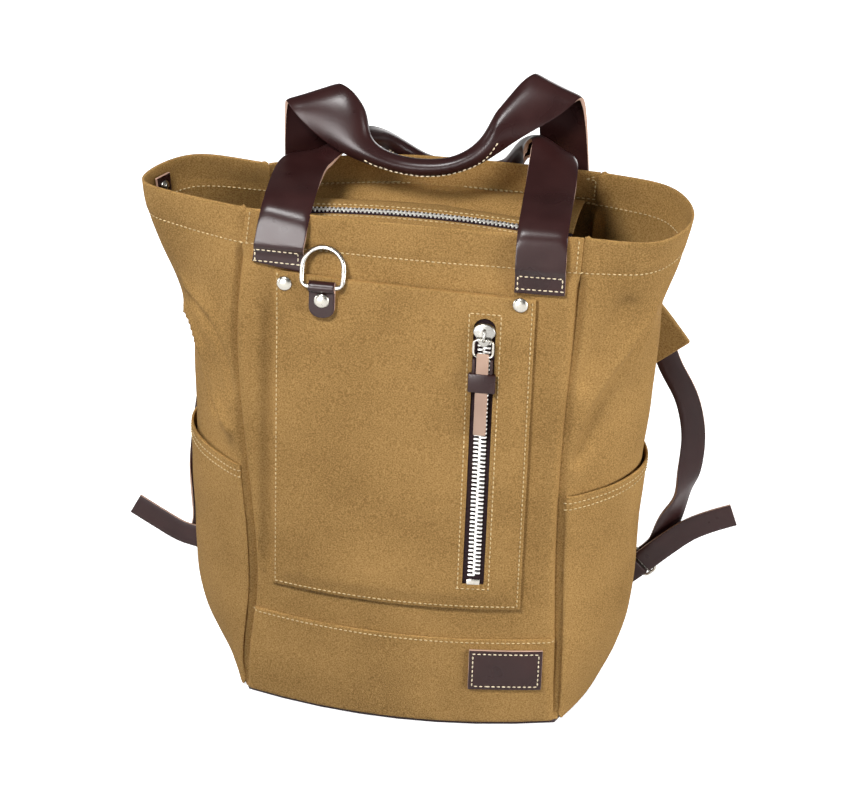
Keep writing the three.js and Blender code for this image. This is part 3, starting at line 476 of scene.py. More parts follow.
def rounded_outline(
    width: float, height: float, corner: float, steps: int = 6
) -> list[tuple[float, float]]:
    """A rounded rectangle about its middle.

    Args:
        width: Its width.
        height: Its height.
        corner: Its corners' radius.
        steps: How many spans each corner has.

    Returns:
        Its points in order.
    """
    points = []
    for quarter in range(4):
        sign_x = (1, -1, -1, 1)[quarter]
        sign_y = (1, 1, -1, -1)[quarter]
        for step in range(steps + 1):
            angle = (quarter + step / steps) * math.pi / 2
            x = sign_x * (width / 2 - corner) + corner * math.cos(angle)
            y = sign_y * (height / 2 - corner) + corner * math.sin(angle)
            points.append((x, y))
    return points


def merged_copy(node: str) -> Shape:
    """A copy of a solid of the frame, with its points merged and its triangles paired into quads.

    Args:
        node: The solid's node.

    Returns:
        The copy.
    """
    bm = bmesh.new()
    bm.from_mesh(frame["nodes"][node].data)
    bmesh.ops.remove_doubles(bm, verts=bm.verts, dist=MERGE)
    longest = {face: max(face.edges, key=lambda edge: edge.calc_length()) for face in bm.faces}
    diagonals = [
        edge
        for edge in bm.edges
        if len(edge.link_faces) == 2
        and all(longest[face] == edge for face in edge.link_faces)
        and edge.calc_face_angle(0.0) < SHARP
    ]
    bmesh.ops.dissolve_edges(bm, edges=diagonals, use_verts=False, use_face_split=False)
    return bm


def dressed_copy(node: str, finish: Finish, rounding: float, segments: int = 2, name: str = "") -> None:
    """Shows a copy of a solid of the frame with its edges rounded.

    Args:
        node: The solid's node.
        finish: What it is made of.
        rounding: How wide its rounding is.
        segments: How many faces the rounding has.
        name: The piece's name, if it isn't worked out from the node's.
    """
    piece = add_piece(name or f"{node}_dressed", merged_copy(node), [finish], stands_for=[node])
    round_edges(piece, rounding, segments)


def round_wire(node: str, radius: float, body: Body) -> None:
    """Dresses a bent wire of the frame with a round one.

    Args:
        node: The wire's node, which has six sides.
        radius: The wire's radius.
        body: What it rides on.
    """
    bm = merged_copy(node)
    bm.normal_update()
    swell = 0.2 * radius
    for vert in bm.verts:
        vert.co += vert.normal * swell
    piece = add_piece(f"{node}_dressed", bm, [NICKEL], body, [node])
    smooth = piece.modifiers.new("smooth", "SUBSURF")
    smooth.levels = 2
    smooth.render_levels = 2


def lathe(profile: Sequence[tuple[float, float]], seat: Vector, axis: Vector) -> Shape:
    """A turned shape.

    Args:
        profile: Radius and height of each of its points, in millimetres.
        seat: Where its foot is.
        axis: The way that it rises.

    Returns:
        The shape.
    """
    bm = bmesh.new()
    verts = [bm.verts.new((radius * MM, 0.0, height * MM)) for radius, height in profile]
    edges = [bm.edges.new(pair) for pair in zip(verts, verts[1:])]
    bmesh.ops.spin(
        bm,
        geom=[*verts, *edges],
        cent=(0, 0, 0),
        axis=UP,
        angle=2 * math.pi,
        steps=TURNED_STEPS,
        use_merge=True,
    )
    bmesh.ops.remove_doubles(bm, verts=bm.verts, dist=MERGE)
    bmesh.ops.recalc_face_normals(bm, faces=bm.faces)
    turn = axis.to_track_quat("Z", "Y").to_matrix().to_4x4()
    bmesh.ops.transform(bm, matrix=Matrix.Translation(seat) @ turn, verts=bm.verts)
    return bm


def thicken(piece: Piece, thickness: float, edge: int = 0) -> None:
    """Gives a face its thickness, inwards.

    Args:
        piece: The face's piece.
        thickness: How thick it is.
        edge: How many finishes further on the cut edges' one is.
    """
    solid = piece.modifiers.new("thickness", "SOLIDIFY")
    solid.thickness = thickness
    solid.offset = -1.0
    solid.use_even_offset = True
    solid.material_offset_rim = edge


def pivot_of(joint: str) -> Vector:
    """Where a joint of the frame turns.

    Args:
        joint: The joint's name.

    Returns:
        The place.
    """
    rows = frame["record"]["behaviour"]["joints"]
    return Vector(next(row["pos_m"] for row in rows if row["name"] == joint))


def lay_weave(bm: Shape) -> None:
    """Lays the map that a weave follows, in metres, looking along each face's main direction.

    Args:
        bm: The cloth.
    """
    layer = bm.loops.layers.uv.new("weave")
    for face in bm.faces:
        main = max(range(3), key=lambda axis: abs(face.normal[axis]))
        first, second = [axis for axis in range(3) if axis != main]
        for loop in face.loops:
            loop[layer].uv = (loop.vert.co[first], loop.vert.co[second])


class Layer:
    """One face of a sheet of the frame, as quads that can be refined and shaped."""

    RUNG_TOLERANCE = 0.006 * MM

    def __init__(self, node: str, thickness: float, outward: Vector | None = None) -> None:
        """Copies the face.

        Args:
            node: The sheet's node.
            thickness: The sheet's thickness, which is the length of the edges between its two faces.
            outward: The way the face looks, or None for the larger of its two faces.
        """
        self.bm = merged_copy(node)
        spans = {edge: abs(edge.calc_length() - thickness) for edge in self.bm.edges}
        rungs = [edge for edge, off in spans.items() if off < self.RUNG_TOLERANCE]
        walls = list({face for edge in rungs for face in edge.link_faces})
        bmesh.ops.delete(self.bm, geom=walls, context="FACES")
        sides = sorted(self._sides(), key=lambda side: -sum(face.calc_area() for face in side))[:2]
        if outward is not None:
            sides.sort(key=lambda side: -sum(face.normal.dot(outward) * face.calc_area() for face in side))
        kept = set(sides[0])
        unused = [face for face in self.bm.faces if face not in kept]
        bmesh.ops.delete(self.bm, geom=unused, context="FACES")
        loose = [face for face in self.bm.faces if len(face.verts) == 3]
        bmesh.ops.join_triangles(
            self.bm, faces=loose, angle_face_threshold=SHARP, angle_shape_threshold=math.pi
        )

    def _sides(self) -> list[list[bmesh.types.BMFace]]:
        """The parts that hang together.

        Returns:
            Each part's faces.
        """
        left = set(self.bm.faces)
        sides = []
        while left:
            stack = [left.pop()]
            side = []
            while stack:
                face = stack.pop()
                side.append(face)
                fresh = {other for edge in face.edges for other in edge.link_faces if other in left}
                left -= fresh
                stack.extend(fresh)
            sides.append(side)
        return sides

    def refine(self, levels: int) -> None:
        """Subdivides the face smoothly.

        Args:
            levels: How often each quad is split in four.
        """
        mesh = bpy.data.meshes.new("coarse")
        self.bm.to_mesh(mesh)
        coarse = bpy.data.objects.new("coarse", mesh)
        bpy.context.scene.collection.objects.link(coarse)
        smooth = coarse.modifiers.new("smooth", "SUBSURF")
        smooth.levels = levels
        smooth.render_levels = levels
        smooth.boundary_smooth = "PRESERVE_CORNERS"
        fine = coarse.evaluated_get(bpy.context.evaluated_depsgraph_get())
        self.bm.free()
        self.bm = bmesh.new()
        self.bm.from_mesh(fine.to_mesh())
        fine.to_mesh_clear()
        bpy.data.objects.remove(coarse)
        bpy.data.meshes.remove(mesh)

    def border_distance(self, reach: float) -> dict[bmesh.types.BMVert, float]:
        """How far each point is from the face's border.

        Args:
            reach: The distance past which all points count as equal.

        Returns:
            The distance of each point.
        """
        found = {vert: 0.0 for vert in self.bm.verts if vert.is_boundary}
        front = list(found)
        while front:
            following = []
            for vert in front:
                for edge in vert.link_edges:
                    other = edge.other_vert(vert)
                    length = found[vert] + edge.calc_length()
                    if length < min(found.get(other, reach), reach):
                        found[other] = length
                        following.append(other)
            front = following
        return {vert: found.get(vert, reach) for vert in self.bm.verts}


Shaping = Callable[[Layer], None]


@dataclass
class Sheet:
    """A sheet of cloth or leather that follows a sheet of the frame."""

    node: str
    finish: Finish
    thickness: float
    outward: Vector | None = None
    levels: int = 3
    rounding: float = 0.7 * MM
    edge: Finish | None = None
    body: Body = Body.BAG
    shapings: Sequence[Shaping] = ()
    piece: Piece | None = None
    rest: list[Vector] = field(default_factory=list)
    moves: list[Vector] = field(default_factory=list)

    def build(self) -> Piece:
        """Makes the sheet with its thickness and rounded edges.

        Returns:
            The piece.
        """
        layer = Layer(self.node, self.thickness, self.outward)
        layer.refine(self.levels)
        self.rest = [vert.co.copy() for vert in layer.bm.verts]
        for shape in self.shapings:
            layer.bm.normal_update()
            shape(layer)
        self.moves = [vert.co - rest for vert, rest in zip(layer.bm.verts, self.rest)]
        layer.bm.normal_update()
        lay_weave(layer.bm)
        finishes = [self.finish, self.edge] if self.edge else [self.finish]
        self.piece = add_piece(f"{self.node}_dressed", layer.bm, finishes, self.body, [self.node])
        thicken(self.piece, self.thickness, len(finishes) - 1)
        round_edges(self.piece, self.rounding)
        return self.piece

    def smooth_face(self) -> BVHTree:
        """The sheet's outer face before it was shaped.

        Returns:
            The face, for laying things on it.
        """
        layer = Layer(self.node, self.thickness, self.outward)
        layer.refine(self.levels)
        tree = BVHTree.FromBMesh(layer.bm)
        layer.bm.free()
        return tree


class Follow:
    """Moves a sheet along with the shaping of the sheet that it lies on."""

    NEAREST = 4
    BLUR = 0.5 * MM

    def __init__(self, ground: Sheet) -> None:
        """Reads how the other sheet was shaped.

        Args:
            ground: The sheet that it lies on, which is already built.
        """
        self.moves = ground.moves
        self.tree = KDTree(len(ground.rest))
        for k, place in enumerate(ground.rest):
            self.tree.insert(place, k)
        self.tree.balance()

    def __call__(self, layer: Layer) -> None:
        """Moves the sheet.

        Args:
            layer: The sheet.
        """
        for vert in layer.bm.verts:
            near = self.tree.find_n(vert.co, self.NEAREST)
            weights = [1.0 / (distance + self.BLUR) for _, _, distance in near]
            shares = (self.moves[k] * weight for (_, k, _), weight in zip(near, weights))
            move = sum(shares, Vector())
            vert.co += move / sum(weights)


class Skin:
    """The outside of finished pieces, for laying stitches and trim on them."""

    def __init__(self, *pieces: Piece) -> None:
        """Reads the pieces as they will be shown.

        Args:
            pieces: The pieces.
        """
        bpy.context.view_layer.update()
        graph = bpy.context.evaluated_depsgraph_get()
        self.trees = [BVHTree.FromObject(piece, graph) for piece in pieces]

    def hit(self, start: Vector, way: Vector) -> Place | None:
        """The first place that a ray meets.

        Args:
            start: Where the ray starts.
            way: Where it goes.

        Returns:
            The place and the outward direction there, or None.
        """
        hits = [tree.ray_cast(start, way) for tree in self.trees]
        found = [(distance, point, normal) for point, normal, _, distance in hits if point is not None]
        if not found:
            return None
        _, point, normal = min(found, key=lambda item: item[0])
        return point, normal if normal.dot(way) < 0 else -normal

    def line(self, points: Iterable[Vector], way: Vector) -> list[Place]:
        """Lays a line of points on the pieces.

        Args:
            points: The line.
            way: The direction it is laid along.

        Returns:
            The places that were met.
        """
        hits = [self.hit(point - way * FAR, way) for point in points]
        return [hit for hit in hits if hit is not None]


def level_line(piece: Piece, height: float) -> list[Place]:
    """Where a sheet's outer face crosses a height.

    Args:
        piece: The sheet's piece.
        height: The height.

    Returns:
        The places along the crossing, in order.
    """
    bm = bmesh.new()
    bm.from_mesh(piece.data)
    geometry = [*bm.verts, *bm.edges, *bm.faces]
    cut = bmesh.ops.bisect_plane(bm, geom=geometry, plane_co=UP * height, plane_no=UP)["geom_cut"]
    bm.normal_update()
    edges = {item for item in cut if isinstance(item, bmesh.types.BMEdge)}
    verts = [item for item in cut if isinstance(item, bmesh.types.BMVert)]
    ends = [item for item in verts if len(edges & set(item.link_edges)) == 1]
    vert = min(ends, key=lambda item: item.co.x)
    places = [(vert.co.copy(), vert.normal.copy())]
    while True:
        following = [edge for edge in vert.link_edges if edge in edges]
        if not following:
            break
        edges.discard(following[0])
        vert = following[0].other_vert(vert)
        places.append((vert.co.copy(), vert.normal.copy()))
    bm.free()
    return places


def edge_lines(piece: Piece, inset: float) -> list[list[Place]]:
    """Lines that follow a sheet's border on its outer face.

    Args:
        piece: The sheet's piece.
        inset: How far inside the border they run.

    Returns:
        The places of each line, in order.
    """
    bm = bmesh.new()
    bm.from_mesh(piece.data)
    bm.normal_update()
    tree = BVHTree.FromBMesh(bm)
    border = KDTree(len(bm.verts))
    for vert in bm.verts:
        if vert.is_boundary:
            border.insert(vert.co, vert.index)
    border.balance()
    unused = {edge for edge in bm.edges if edge.is_boundary}
    least = 0.85 * inset
    lines = []
    while unused:
        edge = min(unused, key=lambda item: item.index)
        unused.discard(edge)
        start, vert = edge.verts
        loop = [start, vert]
        while vert != start:
            edge = next(item for item in vert.link_edges if item in unused)
            unused.discard(edge)
            vert = edge.other_vert(vert)
            loop.append(vert)
        line = []
        for before, middle, after in zip(loop[-2:-1] + loop, loop, loop[1:] + loop[1:2]):
            way = (after.co - before.co).normalized()
            across = middle.normal.cross(way).normalized()
            offsets = [middle.co + across * inset, middle.co - across * inset]
            hits = [tree.find_nearest(offset) for offset in offsets]
            point, normal, _, _ = min(hits, key=lambda hit: hit[3])
            if border.find(point)[2] > least:
                line.append((point, normal))
        lines.append([*line, line[0]])
    bm.free()
    return lines


def inner(places: Sequence[Place], thickness: float) -> list[Place]:
    """The places on the other face of a sheet.

    Args:
        places: Places on its outer face.
        thickness: The sheet's thickness.

    Returns:
        The places on its inner face.
    """
    return [(point - normal * thickness, -normal) for point, normal in places]


def along(corners: Sequence[Vector], step: float = 2.0 * MM) -> list[Vector]:
    """Points along straight spans.

    Args:
        corners: The spans' ends.
        step: The points' distance.

    Returns:
        The points.
    """
    points = []
    for start, end in zip(corners, corners[1:]):
        count = max(int((end - start).length / step), 1)
        points += [start.lerp(end, k / count) for k in range(count)]
    return [*points, corners[-1]]


@dataclass
class Stitching:
    """Rows of lock stitches in one thread."""

    name: str
    finish: Finish
    length: float
    gap: float
    radius: float
    seed: int = 7
    skew: float = 0.09
    evenness: tuple[float, float] = (0.92, 1.05)
    stand: float = 0.35
    bm: Shape = field(default_factory=bmesh.new)

    def sew(self, places: Sequence[Place]) -> None:
        """Sews one row along places on a surface.

        Args:
            places: The row's places, in order.
        """
        chance = random.Random(self.seed + len(self.bm.verts))
        row = bmesh.new()
        pitch = self.length + self.gap
        reached = 0.0
        due = 0.0
        for (start, normal), (end, _) in zip(places, places[1:]):
            span = (end - start).length
            while span > 0.0 and due <= reached + span:
                way = (end - start) / span
                seat = self._seat(start + way * (due - reached), way, normal, chance)
                bmesh.ops.create_uvsphere(row, u_segments=6, v_segments=4, radius=1.0, matrix=seat)
                due += pitch
            reached += span
        append(self.bm, row)

    def _seat(self, place: Vector, way: Vector, normal: Vector, chance: random.Random) -> Matrix:
        """Where one stitch lies.

        Args:
            place: Its middle.
            way: Its direction.
            normal: The surface's direction.
            chance: Makes its small differences.

        Returns:
            The place, turn and size of a ball that makes it.
        """
        way = Matrix.Rotation(chance.uniform(-self.skew, self.skew), 3, normal) @ way
        side = normal.cross(way).normalized()
        half = 0.5 * self.length * chance.uniform(*self.evenness)
        turn = Matrix((way * half, side * self.radius, normal * self.radius)).transposed().to_4x4()
        return Matrix.Translation(place + normal * self.stand * self.radius) @ turn

    def finish_off(self) -> None:
        """Makes the piece with all the rows."""
        add_piece(self.name, self.bm, [self.finish])


@dataclass(frozen=True)
class Crease:
    """A fold line in cloth, in millimetres: a raised one has a crest, and a sunk one is a hollow."""

    points: tuple[tuple[float, float, float], ...]
    height: float
    width: float

    def lift(self, place: Vector, normal: Vector) -> float:
        """How far the crease lifts the cloth.

        Args:
            place: Where, in metres.
            normal: The cloth's direction there.

        Returns:
            The lift in metres.
        """
        corners = [Vector(point) * MM for point in self.points]
        nearest = 1.0
        for start, end in zip(corners, corners[1:]):
            span = end - start
            share = min(max((place - start).dot(span) / span.length_squared, 0.0), 1.0)
            away = start + span * share - place
            nearest = min(nearest, (away - normal * away.dot(normal)).length)
        power = 1.0 if self.height > 0.0 else 2.0
        return self.height * MM * math.exp(-((nearest / (self.width * MM)) ** power))


@dataclass(frozen=True)
class Rumple:
    """The gentle unevenness of cloth in use, which dies out at its seams."""

    height: float
    scale: float
    creases: tuple[Crease, ...] = ()
    seed: float = 0.0
    seam: float = 14.0 * MM
    finer: float = 2.7
    finer_share: float = 0.45

    def __call__(self, layer: Layer) -> None:
        """Moves the cloth along its own direction.

        Args:
            layer: The cloth.
        """
        distance = layer.border_distance(self.seam)
        shift = Vector((self.seed, 0.0, 0.0))
        for vert in layer.bm.verts:
            place = vert.co * self.scale + shift
            waves = noise.noise(place) + self.finer_share * noise.noise(place * self.finer)
            lift = self.height * waves
            lift += sum(crease.lift(vert.co, vert.normal) for crease in self.creases)
            vert.co += vert.normal * lift * smoothstep(0.0, self.seam, distance[vert])


@dataclass(frozen=True)
class Hem:
    """A turned hem under an edge at one height: a shallow step where its stitches are."""

    edge: float
    depth: float
    height: float
    below: float = 1.0 * MM
    above: float = 5.0 * MM
    groove: float = 2.5 * MM
    groove_share: float = 0.6

    def __call__(self, layer: Layer) -> None:
        """Thickens the cloth above the stitches and draws it in along them.

        Args:
            layer: The cloth.
        """
        line = self.edge - self.depth
        for vert in layer.bm.verts:
            rise = smoothstep(line - self.below, line + self.above, vert.co.z)
            groove = math.exp(-(((vert.co.z - line) / self.groove) ** 2))
            vert.co += vert.normal * self.height * (rise - self.groove_share * groove)


@dataclass(frozen=True)
class EdgeTurn:
    """Turns a panel's side edges in at their seams."""

    depth: float
    width: float
    top: float
    foot: float = 2.0 * MM
    fade: float = 14.0 * MM

    def __call__(self, layer: Layer) -> None:
        """Moves the edges along the panel's own direction.

        Args:
            layer: The panel.
        """
        low = min(vert.co.z for vert in layer.bm.verts) + self.foot
        sides = KDTree(len(layer.bm.verts))
        for vert in layer.bm.verts:
            if vert.is_boundary and low < vert.co.z < self.top:
                sides.insert(vert.co, vert.index)
        sides.balance()
        for vert in layer.bm.verts:
            share = math.exp(-((sides.find(vert.co)[2] / self.width) ** 2))
            fade = 1.0 - smoothstep(self.top - self.fade, self.top, vert.co.z)
            vert.co -= vert.normal * self.depth * share * fade


@dataclass(frozen=True)
class Furrow:
    """An upright furrow in a panel."""

    x: float
    ends: tuple[float, float]
    depth: float
    width: float
    run_out: float = 30.0 * MM

    def __call__(self, layer: Layer) -> None:
        """Draws the panel in along it.

        Args:
            layer: The panel.
        """
        low, high = self.ends
        for vert in layer.bm.verts:
            share = math.exp(-(((vert.co.x - self.x) / self.width) ** 2))
            start = smoothstep(low, low + self.run_out, vert.co.z)
            end = 1.0 - smoothstep(high - self.run_out, high, vert.co.z)
            vert.co -= vert.normal * self.depth * share * start * end


class SeamTuck:
    """Draws a side's cloth in behind the edges of the panels that it is sewn to, and under them."""

    REACH = 1.6 * MM
    NEAR = 5.0 * MM
    FADE = 14.0 * MM
    FADE_SHARE = 0.8
    SPAN = 15.0 * MM

    def __init__(self, panels: Sequence[Sheet], depth: float, width: float, top: float) -> None:
        """Reads where the panels' side edges were before they were shaped.

        Args:
            panels: The panels.
            depth: How far the cloth is drawn in at the seam.
            width: How wide the drawn-in strip is.
            top: The height at which the seams end under the hem.
        """
        self.depth = depth
        self.width = width
        self.top = top
        self.lines: list[list[Vector]] = []
        for panel in panels:
            bm = bmesh.new()
            bm.from_mesh(panel.piece.data)
            border = (panel.rest[vert.index] for vert in bm.verts if vert.is_boundary)
            edge = sorted(border, key=lambda co: co.z)
            self.lines.append([co for co in edge if co.x < 0])
            self.lines.append([co for co in edge if co.x > 0])
            bm.free()

    def __call__(self, layer: Layer) -> None:
        """Draws the cloth in.

        Args:
            layer: The cloth.
        """
        tree = BVHTree.FromPolygons(*self._ribbons())
        moves = []
        for vert in layer.bm.verts:
            _, _, _, distance = tree.find_nearest(vert.co)
            share = math.exp(-((distance / self.width) ** 2))
            fade = 1.0 - self.FADE_SHARE * smoothstep(self.top - self.FADE, self.top, vert.co.z)
            move = -vert.normal * self.depth * share * fade
            if vert.is_boundary and distance < self.NEAR:
                edges = [edge for edge in vert.link_edges if not edge.is_boundary]
                ways = [(vert.co - edge.other_vert(vert).co).normalized() for edge in edges]
                move += sum(ways, Vector()) * self.REACH
            moves.append(move)
        for vert, move in zip(layer.bm.verts, moves):
            vert.co += move

    def _ribbons(self) -> tuple[list[Vector], list[tuple[int, int, int]]]:
        """The seams as slivers that distances can be measured to.

        Returns:
            Their points and their faces.
        """
        points: list[Vector] = []
        faces = []
        for line in self.lines:
            for co in line[1:-1]:
                step = co - points[-1] if points else Vector()
                if abs(step.x) < self.SPAN and 0 < step.z < self.SPAN:
                    faces.append((len(points) - 1, len(points), len(points) - 1))
                points.append(co)
        return points, faces


@dataclass(frozen=True)
class Relax:
    """Rounds the folds of a strap above a height, along its edges and across it."""

    low: float
    high: float
    passes: int
    in_front_of: float = 1.0
    pull: float = 0.5

    def __call__(self, layer: Layer) -> None:
        """Moves each point towards its neighbours.

        Args:
            layer: The strap.
        """
        neighbours = {}
        for vert in layer.bm.verts:
            edges = [edge for edge in vert.link_edges if edge.is_boundary or not vert.is_boundary]
            neighbours[vert] = [edge.other_vert(vert) for edge in edges]
        for _ in range(self.passes):
            moved = {}
            for vert, others in neighbours.items():
                share = self.pull * smoothstep(self.low, self.high, vert.co.z)
                if share > 0.0 and vert.co.y < self.in_front_of:
                    middle = sum((other.co for other in others), Vector()) / len(others)
                    moved[vert] = vert.co.lerp(middle, share)
            for vert, place in moved.items():
                vert.co = place


@dataclass(frozen=True)
class Bow:
    """The outward bow of a strap's legs between their sewn feet and the rim that they pass over."""

    foot: float
    top: float
    left: float
    right: float
    rise: float = 9.0 * MM
    in_front_of: float = -50.0 * MM

    def __call__(self, layer: Layer) -> None:
        """Moves the legs forwards.

        Args:
            layer: The strap.
        """
        for vert in layer.bm.verts:
            if vert.co.y < self.in_front_of:
                near = smoothstep(self.foot, self.foot + self.rise, vert.co.z)
                far = min(max((self.top - vert.co.z) / (self.top - self.foot - self.rise), 0.0), 1.0)
                vert.co.y -= (self.left if vert.co.x < 0.0 else self.right) * near * far


@dataclass(frozen=True)
class Swell:
    """A place, in millimetres, where a strap stands out, and how far."""

    centre: tuple[float, float, float]
    move: tuple[float, float, float]
    reach: float

    def __call__(self, layer: Layer) -> None:
        """Moves the strap about the place.

        Args:
            layer: The strap.
        """
        for vert in layer.bm.verts:
            away = (vert.co / MM - Vector(self.centre)).length
            vert.co += Vector(self.move) * MM * math.exp(-((away / self.reach) ** 2))


@dataclass(frozen=True)
class Reach:
    """Draws the straps at a buckle up to its middle bar."""

    centre: Vector
    way: Vector
    near: float = 11.0 * MM
    far: float = 20.0 * MM
    around: float = 20.0 * MM
    share: float = 0.85

    def __call__(self, layer: Layer) -> None:
        """Moves the strap's end along the buckle.

        Args:
            layer: The strap.
        """
        for vert in layer.bm.verts:
            height = (vert.co - self.centre).dot(self.way)
            if (vert.co - self.centre - self.way * height).length < self.around:
                fade = 1.0 - smoothstep(self.near, self.far, abs(height))
                vert.co -= self.way * height * self.share * fade


@dataclass(frozen=True)
class Lamp:
    """A soft round light: its place and size in metres, its power in watts, and what it reaches."""

    name: str
    place: tuple[float, float, float]
    size: float
    power: float
    reaches_matt: bool = True


class Studio:
    """The plain floor, the soft lights and the camera."""

    TARGET = Vector((6.0, 0.0, 247.3)) * MM
    DISTANCE = 2300.0 * MM
    AZIMUTH = math.radians(7.94)
    ELEVATION = math.radians(28.0)
    ROLL = math.radians(1.81)
    LENS = 120.35
    SENSOR = 36.0
    FLOOR_HALF = 12.0
    FLOOR_GLOW = 0.72
    SURROUND = 0.16
    SKY = 0.28
    SKY_SPREAD = math.radians(80.0)
    SKY_LEAN = math.radians(18.0)
    LAMPS = (
        Lamp("key", (-0.36, -1.1, 1.5), 0.4, 28.0),
        Lamp("left", (-1.9, -0.5, 0.62), 1.0, 20.0),
        Lamp("right", (1.9, -0.7, 0.62), 1.0, 44.0),
        Lamp("back", (0.5, 1.9, 0.7), 1.0, 12.0),
        Lamp("gloss", (-0.55, -1.65, 0.4), 0.7, 36.0, False),
    )

    def build(self) -> None:
        """Sets the stage."""
        self._floor()
        self._world()
        for lamp in self.LAMPS:
            self._hang(lamp)
        self._sky()
        self._camera()
        bpy.context.scene.view_settings.view_transform = "Standard"

    def _floor(self) -> None:
        """A wide pale floor."""
        bm = bmesh.new()
        bmesh.ops.create_grid(bm, x_segments=1, y_segments=1, size=self.FLOOR_HALF)
        mesh = bpy.data.meshes.new("floor")
        bm.to_mesh(mesh)
        bm.free()
        graph = Graph("floor")
        graph.shader.inputs["Base Color"].default_value = (0.95, 0.95, 0.95, 1.0)
        graph.shader.inputs["Roughness"].default_value = 0.9
        graph.shader.inputs["Emission Color"].default_value = (1.0, 1.0, 1.0, 1.0)
        graph.shader.inputs["Emission Strength"].default_value = self.FLOOR_GLOW
        mesh.materials.append(graph.material)
        floor = bpy.data.objects.new("floor", mesh)
        bpy.context.scene.collection.objects.link(floor)
        floor.visible_diffuse = False

    def _world(self) -> None:
        """An even white surround."""
        world = bpy.data.worlds.new("studio")
        world.use_nodes = True
        background = world.node_tree.nodes["Background"]
        background.inputs["Color"].default_value = (1.0, 1.0, 1.0, 1.0)
        background.inputs["Strength"].default_value = self.SURROUND
        bpy.context.scene.world = world

    def _hang(self, lamp: Lamp) -> None:
        """Adds a light that looks at the bag.

        Args:
            lamp: The light.
        """
        light = bpy.data.lights.new(lamp.name, "AREA")
        light.shape = "DISK"
        light.size = lamp.size
        light.energy = lamp.power
        hung = bpy.data.objects.new(lamp.name, light)
        hung.location = lamp.place
        hung.rotation_euler = (self.TARGET - hung.location).to_track_quat("-Z", "Y").to_euler()
        hung.visible_diffuse = lamp.reaches_matt
        bpy.context.scene.collection.objects.link(hung)

    def _sky(self) -> None:
        """Adds the wide even light from above."""
        light = bpy.data.lights.new("sky", "SUN")
        light.energy = self.SKY
        light.angle = self.SKY_SPREAD
        lamp = bpy.data.objects.new("sky", light)
        lamp.rotation_euler = (self.SKY_LEAN, 0.0, 0.0)
        bpy.context.scene.collection.objects.link(lamp)

    def _camera(self) -> None:
        """Places the camera where the photo was taken from."""
        level = Vector((math.sin(self.AZIMUTH), -math.cos(self.AZIMUTH), 0.0))
        away = level * math.cos(self.ELEVATION) + UP * math.sin(self.ELEVATION)
        right = Vector((math.cos(self.AZIMUTH), math.sin(self.AZIMUTH), 0.0))
        up = away.cross(right)
        rolled_right = right * math.cos(self.ROLL) + up * math.sin(self.ROLL)
        rolled_up = up * math.cos(self.ROLL) - right * math.sin(self.ROLL)
        turn = Matrix((rolled_right, rolled_up, away)).transposed().to_4x4()
        data = bpy.data.cameras.new("camera")
        data.lens = self.LENS
        data.sensor_width = self.SENSOR
        data.sensor_fit = "HORIZONTAL"
        data.dof.use_dof = False
        camera = bpy.data.objects.new("camera", data)
        camera.matrix_world = Matrix.Translation(self.TARGET + away * self.DISTANCE) @ turn
        bpy.context.scene.collection.objects.link(camera)
        bpy.context.scene.camera = camera


